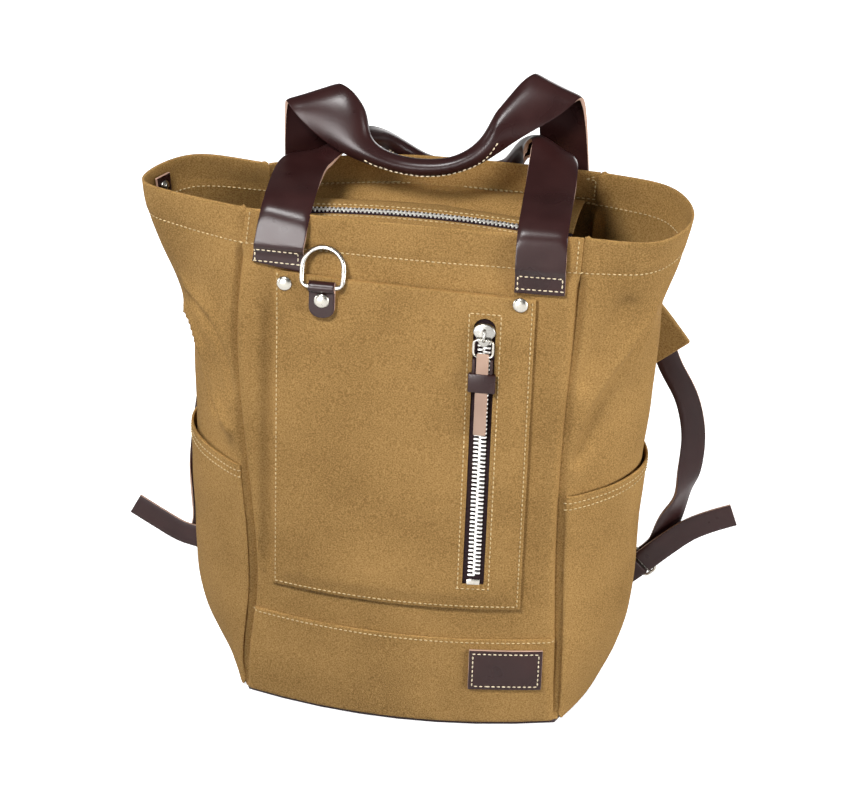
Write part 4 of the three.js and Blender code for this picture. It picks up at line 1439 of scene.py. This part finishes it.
@dataclass
class Walls:
    """The four canvas walls with their hem."""

    thickness: float = CANVAS_PLY
    rim: float = 434.0 * MM
    hem: float = 29.0 * MM
    seam_inset: float = 3.5 * MM
    left_creases: tuple[Crease, ...] = (
        Crease(((-182, -38, 349), (-159, -58, 336), (-149, -65, 324), (-138, -72, 289)), 5.0, 8.0),
        Crease(((-180, -38, 334), (-158, -58, 320), (-149, -65, 306), (-141, -70, 276)), -5.0, 6.5),
        Crease(((-184, -20, 321), (-170, -41, 298), (-160, -48, 264), (-140, -66, 240)), 7.5, 8.0),
        Crease(((-182, -24, 304), (-169, -42, 282), (-159, -50, 248)), -5.0, 7.0),
    )
    right_creases: tuple[Crease, ...] = (
        Crease(
            ((180, -42, 365), (162, -53, 334), (151, -58, 316), (133, -66, 278), (127, -68, 235)), 5.0, 8.0
        ),
        Crease(((180, -34, 344), (160, -50, 310), (146, -58, 284), (132, -66, 244)), -4.5, 9.0),
        Crease(((160, -60, 376), (146, -64, 344), (134, -68, 312)), -3.5, 9.0),
    )
    pocket_side: float = -110.0 * MM
    pocket_heights: tuple[float, float] = (110.0 * MM, 372.0 * MM)

    def build(self, thread: Stitching) -> dict[str, Sheet]:
        """Makes the walls and sews their hem inside and out.

        Args:
            thread: What they are sewn with.

        Returns:
            The walls by name.
        """
        seam_top = self.rim - self.hem
        hem = Hem(edge=self.rim, depth=self.hem, height=0.6 * MM)
        turn = EdgeTurn(depth=7.0 * MM, width=2.2 * MM, top=seam_top)
        furrow = Furrow(x=self.pocket_side, ends=self.pocket_heights, depth=3.4 * MM, width=4.5 * MM)
        walls = {}
        for name, outward, seed, furrows in (
            ("front_panel", FRONT, 1.0, [furrow]),
            ("back_panel", BACK, 2.0, []),
        ):
            rumple = Rumple(height=1.0 * MM, scale=11.0, seed=seed)
            shapings = [rumple, hem, turn, *furrows]
            walls[name] = Sheet(name, CANVAS, self.thickness, outward, shapings=shapings)
            walls[name].build()
        tuck = SeamTuck(list(walls.values()), depth=8.5 * MM, width=2.8 * MM, top=seam_top)
        panels = [wall.piece for wall in walls.values()]
        for name, sign, creases in (
            ("left_gusset", -1.0, self.left_creases),
            ("right_gusset", 1.0, self.right_creases),
        ):
            rumple = Rumple(height=1.4 * MM, scale=13.0, creases=creases, seed=3.0 + sign)
            shapings = [rumple, hem, tuck]
            walls[name] = Sheet(name, CANVAS, self.thickness, RIGHT * sign, shapings=shapings)
            walls[name].build()
        for wall in walls.values():
            line = level_line(wall.piece, seam_top)
            thread.sew(line)
            thread.sew(inner(line, self.thickness))
        for panel in panels:
            for side in (-1.0, 1.0):
                row = self._seam_row(panel, side)
                thread.sew(row)
                thread.sew(inner(row, self.thickness))
        return walls

    def _seam_row(self, panel: Piece, side: float) -> list[Place]:
        """The short upright row that closes the hem at a panel's side.

        Args:
            panel: The panel.
            side: Which side, -1 or 1.

        Returns:
            The row's places.
        """
        low = self.rim - self.hem
        high = self.rim - 1.0 * MM
        step = 2.0 * MM
        hem = [vert for vert in panel.data.vertices if low < vert.co.z < high]
        hem.sort(key=lambda vert: vert.co.z)
        rows: dict[int, bpy.types.MeshVertex] = {}
        for vert in hem:
            level = round(vert.co.z / step)
            if level not in rows or side * vert.co.x > side * rows[level].co.x:
                rows[level] = vert
        shift = RIGHT * -side * self.seam_inset
        return [(vert.co + shift, vert.normal.copy()) for vert in rows.values()]


@dataclass
class Foot:
    """The leather base, the canvas band across the foot of the front, and the patch on it. The base's dark
    leather also serves as painted shade in the gap under the band's raised bottom edge.
    """

    band_top: float = 84.0 * MM
    band_stitch: float = 3.0 * MM
    patch_stitch: float = 3.2 * MM

    def build(self, front: Sheet, canvas_thread: Stitching, leather_thread: Stitching) -> None:
        """Makes the foot of the bag.

        Args:
            front: The front wall.
            canvas_thread: What the band is sewn with.
            leather_thread: What the patch is sewn with.
        """
        # The base is dark leather, and its darkness also stands in as painted shade for the gap under the
        # band's raised bottom edge.
        dressed_copy("base_panel", LEATHER, 1.2 * MM, 3, "base_dressed")
        band = Sheet("base_band", CANVAS, CANVAS_PLY, FRONT, shapings=(Follow(front),))
        band.build()
        canvas_thread.sew(level_line(band.piece, self.band_top - self.band_stitch))
        patch = Sheet("base_patch", LEATHER, STRAP_PLY, FRONT, edge=CUT_EDGE, shapings=(Follow(front),))
        for run in edge_lines(patch.build(), self.patch_stitch):
            leather_thread.sew(run)


@dataclass
class SidePockets:
    """The open pockets on the gussets."""

    hem: float = 212.0 * MM
    rows: tuple[float, ...] = (5.5 * MM, 11.0 * MM)

    def build(self, walls: dict[str, Sheet], thread: Stitching) -> None:
        """Makes both pockets and sews their hems.

        Args:
            walls: The walls that they lie on.
            thread: What they are sewn with.
        """
        for side, outward in (("left", -RIGHT), ("right", RIGHT)):
            follow = Follow(walls[f"{side}_gusset"])
            pocket = Sheet(f"{side}_side_pocket", CANVAS, CANVAS_PLY, outward, shapings=(follow,))
            pocket.build()
            for row in self.rows:
                thread.sew(level_line(pocket.piece, self.hem - row))


@dataclass
class FrontPocket:
    """The flat pocket on the front, open at its top, with a window for its zip."""

    left: float = -105.5 * MM
    right: float = 95.0 * MM
    bottom: float = 113.0 * MM
    top_left: float = 387.5 * MM
    top_right: float = 383.0 * MM
    depth: float = 6.5 * MM
    seat: float = 4.2 * MM
    thickness: float = 3.2 * MM
    zip_x: float = 57.5 * MM
    window_half: float = 8.5 * MM
    window_bottom: float = 136.0 * MM
    window_top: float = 365.0 * MM
    frame_inset: float = 3.6 * MM
    edge_inset: float = 2.6 * MM
    foot_margin: float = 16.0 * MM
    top_margin: float = 5.0 * MM
    margin_heights: tuple[float, float] = (325.0 * MM, 372.0 * MM)
    columns: int = 64
    rows: int = 88
    arch_spans: int = 8
    wall: BVHTree | None = None

    def build(self, front: Sheet, thread: Stitching) -> None:
        """Makes the pocket, cuts its window and sews its edges.

        Args:
            front: The front wall.
            thread: What it is sewn with.
        """
        self.wall = front.smooth_face()
        bm = bmesh.new()
        bmesh.ops.create_grid(bm, x_segments=self.columns, y_segments=self.rows, size=0.5)
        for vert in bm.verts:
            vert.co = self._place(vert.co.x + 0.5, vert.co.y + 0.5)
        self._cut_window(bm)
        bmesh.ops.recalc_face_normals(bm, faces=bm.faces)
        if sum(face.normal.y for face in bm.faces) > 0:
            bmesh.ops.reverse_faces(bm, faces=bm.faces)
        lay_weave(bm)
        piece = add_piece("pocket_dressed", bm, [CANVAS], stands_for=["pocket_panel"])
        thicken(piece, self.thickness)
        round_edges(piece, 0.8 * MM)
        self._sew(piece, thread)

    def _place(self, across: float, up: float) -> Vector:
        """A place on the pocket's face.

        Args:
            across: The share of its width from the left.
            up: The share of its height from the bottom.

        Returns:
            The place.
        """
        x = self.left + (self.right - self.left) * across
        top = self.top_left + (self.top_right - self.top_left) * across
        z = self.bottom + (top - self.bottom) * up
        hit, _, _, _ = self.wall.ray_cast(Vector((x, 0.0, z)) + FRONT * FAR, BACK)
        narrowing = (self.foot_margin - self.top_margin) * smoothstep(*self.margin_heights, z)
        margin = self.foot_margin - narrowing
        edge = min(x - self.left, self.right - x, z - self.bottom)
        puff = self.seat + (self.depth - self.seat) * smoothstep(0.0, margin, edge)
        return Vector((x, hit.y - puff, z))

    def _cut_window(self, bm: Shape) -> None:
        """Cuts the window, which has an arched top.

        Args:
            bm: The pocket's face.
        """
        arch = self.window_top - self.window_half
        sides = (self.zip_x - self.window_half, self.zip_x + self.window_half)
        planes = [(RIGHT * x, RIGHT) for x in sides]
        planes += [(UP * height, UP) for height in (self.window_bottom, arch, self.window_top)]
        for place, normal in planes:
            geometry = [*bm.verts, *bm.edges, *bm.faces]
            bmesh.ops.bisect_plane(bm, geom=geometry, plane_co=place, plane_no=normal)
        centre = Vector((self.zip_x, 0.0, arch))
        for normal in self._arch_ways():
            head = [face for face in bm.faces if self._in_head(face.calc_center_median(), arch)]
            geometry = list({item for face in head for item in (face, *face.edges, *face.verts)})
            rim = centre + normal * self._arch_reach()
            bmesh.ops.bisect_plane(bm, geom=geometry, plane_co=rim, plane_no=normal)
        inside = [face for face in bm.faces if self._in_window(face.calc_center_median(), arch)]
        bmesh.ops.delete(bm, geom=inside, context="FACES")

    def _arch_ways(self) -> list[Vector]:
        """The directions that the straight spans of the window's arch face."""
        angles = [math.pi * (span + 0.5) / self.arch_spans for span in range(self.arch_spans)]
        return [Vector((math.cos(angle), 0.0, math.sin(angle))) for angle in angles]

    def _arch_reach(self) -> float:
        """How far those spans are from the arch's centre."""
        return self.window_half * math.cos(math.pi / self.arch_spans / 2)

    def _in_head(self, place: Vector, arch: float) -> bool:
        """Whether a place is in the block that holds the window's arch."""
        return abs(place.x - self.zip_x) < self.window_half and arch < place.z < self.window_top

    def _in_window(self, place: Vector, arch: float) -> bool:
        """Whether a place is inside the window.

        Args:
            place: The place.
            arch: The height at which its arch starts.

        Returns:
            True inside it.
        """
        if abs(place.x - self.zip_x) > self.window_half or place.z < self.window_bottom:
            return False
        if place.z < arch:
            return True
        away = Vector((place.x - self.zip_x, 0.0, place.z - arch))
        return all(away.dot(way) < self._arch_reach() for way in self._arch_ways())

    def _sew(self, piece: Piece, thread: Stitching) -> None:
        """Sews the sides and the bottom, and the frame round the window.

        Args:
            piece: The pocket.
            thread: What it is sewn with.
        """
        skin = Skin(piece)
        inset = self.edge_inset
        edge = [
            Vector((self.left + inset, 0, self.top_left - inset)),
            Vector((self.left + inset, 0, self.bottom + inset)),
            Vector((self.right - inset, 0, self.bottom + inset)),
            Vector((self.right - inset, 0, self.top_right - inset)),
        ]
        thread.sew(skin.line(along(edge), BACK))
        half = self.window_half + self.frame_inset
        low = self.window_bottom - self.frame_inset
        high = self.window_top + self.frame_inset
        corners = [(-half, low), (half, low), (half, high), (-half, high), (-half, low)]
        window = [Vector((self.zip_x + x, 0, z)) for x, z in corners]
        thread.sew(skin.line(along(window), BACK))


@dataclass
class Zip:
    """A metal zip: single teeth along a line."""

    name: str
    node: str
    pitch: float = 3.6 * MM
    reach: float = 5.0 * MM
    overlap: float = 0.9 * MM
    width: float = 1.9 * MM
    height: float = 1.8 * MM
    finish: Finish = ZIP_METAL
    chamfer: float = 0.45 * MM

    def build(self, line: Sequence[Place]) -> None:
        """Sets the teeth of both sides, half a pitch apart.

        Args:
            line: The zip's middle line on its tape.
        """
        bm = bmesh.new()
        lengths = [0.0]
        for (start, _), (end, _) in zip(line, line[1:]):
            lengths.append(lengths[-1] + (end - start).length)
        count = int(lengths[-1] / self.pitch * 2) - 1
        k = 0
        for tooth in range(count):
            due = (tooth + 0.5) * self.pitch / 2
            while lengths[k + 1] < due:
                k += 1
            start, normal = line[k]
            way = (line[k + 1][0] - start).normalized()
            side = way.cross(normal).normalized() * (1 if tooth % 2 else -1)
            middle = start + way * (due - lengths[k]) + side * (self.reach - self.overlap) / 2
            turn = Matrix((way * self.width, side * (self.reach + self.overlap), normal * self.height))
            seat = Matrix.Translation(middle + normal * self.height / 2)
            bmesh.ops.create_cube(bm, size=1.0, matrix=seat @ turn.transposed().to_4x4())
        bmesh.ops.recalc_face_normals(bm, faces=bm.faces)
        bmesh.ops.bevel(
            bm,
            geom=bm.edges[:],
            offset=self.chamfer,
            segments=1,
            profile=0.5,
            affect="EDGES",
            material=-1,
        )
        add_piece(self.name, bm, [self.finish], stands_for=[self.node])


@dataclass
class PocketZip:
    """The front pocket's zip with its slider and leather pull."""

    x: float = 57.5 * MM
    bottom: float = 141.0 * MM
    top: float = 352.0 * MM
    tag_width: float = 9.5 * MM
    tag_length: float = 66.0 * MM
    tag_thickness: float = 2.4 * MM
    bail_length: float = 14.0 * MM
    keeper_top: float = 14.0 * MM
    keeper_size: tuple[float, float, float] = (21.0 * MM, 4.4 * MM, 15.5 * MM)
    loop_size: tuple[float, float, float] = (2.4 * MM, 2.4 * MM, 13.0 * MM)
    loop_gap: float = 2.0 * MM
    loop_lap: float = 1.0 * MM
    tag_lap: float = 2.4 * MM
    slider_sides: int = 40
    slider_half: float = 5.8 * MM
    slider_flare: float = 3.7 * MM
    slider_waist: tuple[float, float] = (-0.45, 0.3)
    slider_squareness: float = 0.75
    slider_reach: float = 10.0 * MM
    slider_ply: float = 2.2 * MM
    slider_crown: tuple[float, float, float] = (0.9, 1.0, 0.92)
    slider_rise: float = 2.6 * MM
    lug_radius: float = 1.3 * MM
    lug_seat: float = 1.4 * MM
    lug_arch: tuple[float, float] = (3.6 * MM, 4.6 * MM)
    lug_steps: int = 10
    pivot: Vector = field(default_factory=Vector)
    hang: Matrix = field(default_factory=Matrix)

    def build(self) -> None:
        """Makes the zip."""
        tape = Sheet("pocket_zip_tape", TAPE, TAPE_PLY, FRONT, rounding=0.3 * MM).build()
        line = [Vector((self.x, 0, z)) for z in (self.top, self.bottom)]
        Zip("pocket_zip_single_teeth", "pocket_zip_teeth").build(Skin(tape).line(along(line), BACK))
        dressed_copy("pocket_zip_stop", NICKEL, 0.6 * MM)
        self._set_pull()
        self._slider()
        round_wire("pull_bail", 1.0 * MM, Body.PULL)
        self._tag()

    def _set_pull(self) -> None:
        """Reads where the pull hangs and how far it leans."""
        self.pivot = pivot_of("pull_swing")
        points = [vert.co for vert in frame["nodes"]["pull_tag"].data.vertices]
        low = min(point.z for point in points)
        foot = [point for point in points if point.z < low + 1.0 * MM]
        middle = sum(foot, Vector()) / len(foot)
        lean = math.atan2(middle.y - self.pivot.y, self.pivot.z - middle.z)
        self.hang = Matrix.Translation(self.pivot) @ Matrix.Rotation(lean, 4, "X")

    def _slider(self) -> None:
        """A bell-shaped slider with the lug that carries the bail."""
        _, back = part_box("pocket_zip_slider")
        bm = bmesh.new()
        rim = bmesh.ops.create_circle(bm, cap_ends=True, segments=self.slider_sides, radius=1.0)
        for vert in rim["verts"]:
            across, up = vert.co.x, vert.co.y
            half = self.slider_half + self.slider_flare * smoothstep(*self.slider_waist, up)
            aside = math.copysign(abs(across) ** self.slider_squareness, across) * half
            vert.co = Vector((aside, 0.0, up * self.slider_reach))
        plate = bm.faces[:]
        bmesh.ops.recalc_face_normals(bm, faces=plate)
        grown = bmesh.ops.extrude_face_region(bm, geom=plate)["geom"]
        crown = [item for item in grown if isinstance(item, bmesh.types.BMVert)]
        bmesh.ops.translate(bm, verts=crown, vec=FRONT * self.slider_ply)
        bmesh.ops.scale(bm, verts=crown, vec=self.slider_crown)
        bmesh.ops.recalc_face_normals(bm, faces=bm.faces)
        seat = Vector((self.x, back.y, self.pivot.z + self.slider_rise))
        place = Matrix.Translation(seat) @ self.hang.to_3x3().to_4x4()
        bmesh.ops.transform(bm, matrix=place, verts=bm.verts)
        lug = bmesh.new()
        depth, reach = self.lug_arch
        path = []
        for step in range(self.lug_steps + 1):
            angle = math.pi * step / self.lug_steps
            forward = FRONT * (self.lug_seat + depth * math.sin(angle))
            path.append(place @ (forward + UP * reach * math.cos(angle)))
        wire(lug, path, RIGHT, self.lug_radius, False)
        append(bm, lug)
        # The slider takes the darker copy of the nickel: painted shade that dulls its reflection of the
        # floor.
        slider = add_piece(
            "pocket_zip_slider_dressed", bm, [SLIDER_NICKEL_PAINTED_DARKER], stands_for=["pocket_zip_slider"]
        )
        round_edges(slider, 0.5 * MM, 3)

    def _tag(self) -> None:
        """The natural leather strip on the bail, and the dark keeper round it."""
        top = -self.bail_length + self.tag_lap
        low = -self.bail_length - self.tag_length
        strip = bmesh.new()
        self._block(strip, UP * (top + low) / 2, (self.tag_width, self.tag_thickness, top - low))
        piece = add_piece("pull_tag_dressed", strip, [FLESH], Body.PULL, ["pull_tag"])
        round_edges(piece, 0.7 * MM)
        keeper = bmesh.new()
        drop = -self.bail_length - self.keeper_top
        self._block(keeper, UP * (drop - self.keeper_size[2] / 2), self.keeper_size)
        rise = drop + self.loop_size[2] / 2 - self.loop_lap
        for side in (-1.0, 1.0):
            aside = side * (self.tag_width / 2 + self.loop_gap)
            self._block(keeper, RIGHT * aside + UP * rise, self.loop_size)
        piece = add_piece("pull_keeper", keeper, [LEATHER], Body.PULL)
        round_edges(piece, 0.9 * MM, 3)

    def _block(self, bm: Shape, middle: Vector, size: tuple[float, float, float]) -> None:
        """Adds a block that hangs with the pull.

        Args:
            bm: Where it is made.
            middle: Its middle below the pull's pivot.
            size: Its width, thickness and length.
        """
        place = self.hang @ Matrix.Translation(middle) @ Matrix.Diagonal((*size, 1.0))
        bmesh.ops.create_cube(bm, size=1.0, matrix=place)


@dataclass
class RingTab:
    """The ring on its leather tab, and the rivets of the tab and the pocket."""

    rivets: tuple[str, ...] = ("tab_rivet", "pocket_rivet_left", "pocket_rivet_right")
    half: float = 10.0 * MM
    foot: float = 355.7 * MM
    turn: float = 4.45 * MM
    turn_steps: int = 12
    columns: int = 10
    foot_round: float = 9.0 * MM
    foot_power: float = 2.2
    foot_tip: float = 0.12 * MM
    lap: float = 4.0 * MM
    profile: tuple[tuple[float, float], ...] = (
        (0.0, 2.2), (2.0, 2.15), (3.6, 1.9), (4.9, 1.4), (5.7, 0.8), (6.0, 0.3), (6.0, 0.0),
    )

    def build(self) -> None:
        """Makes the tab, the ring and the rivets."""
        self._tab()
        round_wire("d_ring", 1.9 * MM, Body.RING)
        for node in self.rivets:
            low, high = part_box(node)
            seat = Vector(((low.x + high.x) / 2, high.y, (low.z + high.z) / 2))
            add_piece(f"{node}_dressed", lathe(self.profile, seat, FRONT), [NICKEL], stands_for=[node])

    def _tab(self) -> None:
        """The folded tab: up the front from its round foot, over the ring's bar and down behind it."""
        bar = pivot_of("ring_swing")
        skin = Skin(frame["nodes"]["ring_tab"])
        rise = along([Vector((bar.x, 0.0, self.foot)), Vector((bar.x, 0.0, bar.z))], 1.0 * MM)
        path = [place for place, _ in skin.line(rise, BACK)]
        for step in range(1, self.turn_steps + 1):
            angle = math.pi * step / self.turn_steps
            path.append(bar + Vector((0.0, -self.turn * math.cos(angle), self.turn * math.sin(angle))))
        path.append(Vector((bar.x, bar.y + self.turn, self.foot + self.lap)))
        bm = bmesh.new()
        spans = len(path) - 1
        bmesh.ops.create_grid(bm, x_segments=self.columns, y_segments=spans, size=0.5)
        for vert in bm.verts:
            place = path[round((vert.co.y + 0.5) * spans)]
            rise = max(place.z - self.foot, self.foot_tip) / self.foot_round
            below = 1.0 - min(rise, 1.0)
            half = self.half * (1.0 - below**self.foot_power) ** (1.0 / self.foot_power)
            vert.co = Vector((bar.x + 2.0 * half * vert.co.x, place.y, place.z))
        bmesh.ops.recalc_face_normals(bm, faces=bm.faces)
        if min(bm.faces, key=lambda face: face.calc_center_median().z).normal.y > 0:
            bmesh.ops.reverse_faces(bm, faces=bm.faces)
        piece = add_piece("ring_tab_dressed", bm, [LEATHER, CUT_EDGE], stands_for=["ring_tab"])
        thicken(piece, STRAP_PLY, 1)
        round_edges(piece, 0.6 * MM)


@dataclass
class Closure:
    """The recessed canvas strips in the mouth with the zip between them."""

    flats: ClassVar[dict[str, tuple[float, float]]] = {
        "zip_strip_front": (0.232, 0.040),
        "zip_strip_back": (0.232, 0.090),
    }
    half: float = 110.0 * MM
    middle_y: float = -27.0 * MM
    curve: float = 15.0 * MM
    end: float = 116.0 * MM
    height: float = 420.0 * MM
    stitch: float = 10.0 * MM
    sags: tuple[Crease, ...] = (
        Crease(((-90, 16, 416), (-30, 22, 415), (10, 24, 414), (70, 12, 416)), -13.0, 16.0),
        Crease(((-2, 34, 412), (26, 34, 412)), -7.0, 14.0),
    )

    def build(self, thread: Stitching) -> None:
        """Makes the strips and the zip.

        Args:
            thread: What the strips are sewn with.
        """
        strips = []
        for node, flat in self.flats.items():
            rumple = Rumple(height=0.8 * MM, scale=20.0, creases=self.sags, seed=6.0)
            strip = Sheet(node, CANVAS, CANVAS_PLY, UP, shapings=(rumple,)).build()
            strips.append(strip)
        tape = Sheet("top_zip_tape", TAPE, TAPE_PLY, UP, rounding=0.3 * MM).build()
        line = [self._at(x, 0.0) for x in self._stations()]
        # The teeth take the lighter copy of the zip metal: painted light against the shade that the
        # handles cast.
        teeth = Zip(
            "top_zip_single_teeth",
            "top_zip_teeth",
            pitch=3.2 * MM,
            reach=3.7 * MM,
            overlap=0.7 * MM,
            width=1.6 * MM,
            height=1.5 * MM,
            finish=ZIP_METAL_PAINTED_LIGHTER,
        )
        teeth.build(Skin(tape).line(line, -UP))
        skin = Skin(*strips)
        for side in (-self.stitch, self.stitch):
            thread.sew(skin.line([self._at(x, side) for x in self._stations()], -UP))
        dressed_copy("top_zip_slider", NICKEL, 1.2 * MM, 3)

    def _stations(self) -> list[float]:
        """Places along the zip."""
        count = 60
        return [self.half * (2.0 * k / count - 1.0) for k in range(count + 1)]

    def _at(self, x: float, side: float) -> Vector:
        """A place beside the zip's middle line."""
        return Vector((x, self.middle_y - self.curve * (x / self.end) ** 2 + side, self.height))


@dataclass(frozen=True)
class Handle:
    """A carrying handle: its sewn feet and the sewn stretch of its grip, in metres, and its bends."""

    node: str
    outward: Vector
    feet: tuple[tuple[float, float], ...]
    grip: tuple[float, float]
    bends: tuple[Shaping, ...]


@dataclass
class Handles:
    """The two carrying handles."""

    width: float = 38.0 * MM
    box_inset: float = 2.2 * MM
    box_foot: float = 3.5 * MM
    box_height: float = 10.5 * MM
    rounding: Relax = Relax(424.0 * MM, 446.0 * MM, 26)
    grip_tilt: float = math.radians(58)
    grip_points: int = 40
    grip_slice: float = 3.0 * MM
    grip_clear: float = 30.0 * MM
    pair: tuple[Handle, ...] = (
        Handle(
            "front_handle",
            FRONT,
            ((-104.0 * MM, 390.0 * MM), (97.0 * MM, 387.0 * MM)),
            (-40.0 * MM, 46.0 * MM),
            (
                Bow(400.0 * MM, 440.0 * MM, 6.0 * MM, 3.5 * MM),
                Relax(410.0 * MM, 436.0 * MM, 30, -25.0 * MM),
            ),
        ),
        Handle(
            "back_handle",
            BACK,
            ((-101.0 * MM, 345.0 * MM), (99.0 * MM, 345.0 * MM)),
            (-50.0 * MM, 50.0 * MM),
            (
                Swell((-66.0, 15.0, 479.0), (14.0, -2.0, 5.0), 17.0),
                Swell((63.0, 16.0, 484.0), (-14.0, -2.0, 5.0), 17.0),
                Swell((-74.0, 20.0, 492.0), (9.0, 0.0, 2.0), 13.0),
                Swell((74.0, 26.0, 500.0), (-10.0, 0.0, 2.0), 13.0),
            ),
        ),
    )

    def build(self, thread: Stitching) -> None:
        """Makes the handles and sews their legs and grips.

        Args:
            thread: What they are sewn with.
        """
        half = self.width / 2 - self.box_inset
        for handle in self.pair:
            shapings = [*handle.bends, self.rounding]
            sheet = Sheet(handle.node, LEATHER, HANDLE_PLY, edge=CUT_EDGE, shapings=shapings)
            sheet.levels = 2
            sheet.rounding = 0.9 * MM
            piece = sheet.build()
            skin = Skin(piece)
            for x, foot in handle.feet:
                low = foot + self.box_foot
                high = low + self.box_height
                corners = [(-half, low), (half, low), (half, high), (-half, high), (-half, low)]
                box = [Vector((x + across, 0.0, z)) for across, z in corners]
                thread.sew(skin.line(along(box), -handle.outward))
            thread.sew(self._grip_row(piece, *handle.grip))

    def _grip_row(self, handle: Piece, start: float, end: float) -> list[Place]:
        """The row along the lower front of a rolled grip.

        Args:
            handle: The handle.
            start: The grip's left end.
            end: The grip's right end.

        Returns:
            The row's places.
        """
        skin = Skin(handle)
        way = BACK * math.cos(self.grip_tilt) + UP * math.sin(self.grip_tilt)
        row = []
        for k in range(self.grip_points + 1):
            x = start + (end - start) * k / self.grip_points
            near = [vert.co for vert in handle.data.vertices if abs(vert.co.x - x) < self.grip_slice]
            middle = sum(near, Vector()) / len(near)
            hit = skin.hit(Vector((x, middle.y, middle.z)) - way * self.grip_clear, way)
            if hit:
                row.append(hit)
        return row


@dataclass(frozen=True)
class Buckle:
    """A slide buckle on a shoulder strap: where it is, in millimetres, and how it lies."""

    side: str
    centre: tuple[float, float, float]
    across: tuple[float, float, float]
    up: tuple[float, float, float]
    width: float = 27.0 * MM
    height: float = 13.0 * MM
    corner: float = 4.0 * MM
    radius: float = 1.3 * MM

    def build(self) -> None:
        """Bends the frame and adds its middle bar."""
        centre = Vector(self.centre) * MM
        across = Vector(self.across).normalized()
        up = Vector(self.up).normalized()
        bm = bmesh.new()
        outline = rounded_outline(self.width, self.height, self.corner)
        path = [centre + across * x + up * y for x, y in outline]
        wire(bm, path, across.cross(up), self.radius, True)
        ends = [centre + across * (share * self.width / 2) for share in (-1.0, 0.0, 1.0)]
        bar = bmesh.new()
        wire(bar, ends, across.cross(up), self.radius, False)
        append(bm, bar)
        add_piece(f"{self.side}_buckle_dressed", bm, [NICKEL], stands_for=[f"{self.side}_buckle"])


@dataclass
class ShoulderStraps:
    """The padded canvas straps with their leather adjusters and buckles."""

    buckles: tuple[Buckle, ...] = (
        Buckle("right", (178.0, 95.0, 61.0), (0.714, 0.0, -0.7), (0.7, 0.0, 0.714)),
        Buckle("left", (-187.0, 97.0, 31.0), (0.45, 0.0, 0.893), (-0.893, 0.0, 0.45)),
    )
    pad_rounding: float = 1.9 * MM
    pad_stitch: float = 4.5 * MM

    def build(self, thread: Stitching) -> None:
        """Makes both straps.

        Args:
            thread: What the pads are sewn with.
        """
        for buckle in self.buckles:
            node = f"{buckle.side}_shoulder_pad"
            pad = Sheet(node, CANVAS, PAD_PLY, BACK, rounding=self.pad_rounding).build()
            for run in edge_lines(pad, self.pad_stitch):
                thread.sew(run)
            reach = Reach(Vector(buckle.centre) * MM, Vector(buckle.up).normalized())
            for part in ("adjuster", "anchor"):
                node = f"{buckle.side}_{part}_strap"
                Sheet(node, LEATHER, STRAP_PLY, edge=CUT_EDGE, levels=2, shapings=(reach,)).build()
            buckle.build()


@dataclass
class SnapTab:
    """The leather tab with a snap inside the left end of the mouth."""

    profile: tuple[tuple[float, float], ...] = (
        (0.0, 3.0), (2.6, 2.9), (3.2, 2.2), (3.4, 1.2), (4.5, 0.9), (4.5, 0.0),
    )
    before: float = 20.0 * MM
    gap: float = 0.1 * MM

    def build(self) -> None:
        """Makes the tab and its stud."""
        tab = Sheet("snap_tab", LEATHER, STRAP_PLY, RIGHT, edge=CUT_EDGE).build()
        low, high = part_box("snap_stud")
        middle = (low + high) / 2
        place, normal = Skin(tab).hit(middle + RIGHT * self.before, -RIGHT)
        stud = lathe(self.profile, place + normal * self.gap, normal)
        add_piece("snap_stud_dressed", stud, [NICKEL], stands_for=["snap_stud"])


def main() -> None:
    """Builds every part of the bag in order, then the stage."""
    logging.basicConfig(level=logging.INFO, format="%(message)s")
    canvas_thread = Stitching("canvas_stitching", KHAKI, 3.0 * MM, 1.1 * MM, 0.55 * MM)
    leather_thread = Stitching("leather_stitching", CREAM, 3.2 * MM, 1.0 * MM, 0.58 * MM)
    walls = Walls().build(canvas_thread)
    Foot().build(walls["front_panel"], canvas_thread, leather_thread)
    SidePockets().build(walls, canvas_thread)
    FrontPocket().build(walls["front_panel"], canvas_thread)
    PocketZip().build()
    RingTab().build()
    Closure().build(canvas_thread)
    Handles().build(leather_thread)
    ShoulderStraps().build(canvas_thread)
    SnapTab().build()
    canvas_thread.finish_off()
    leather_thread.finish_off()
    Studio().build()
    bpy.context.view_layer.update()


if __name__ == "__main__":
    main()
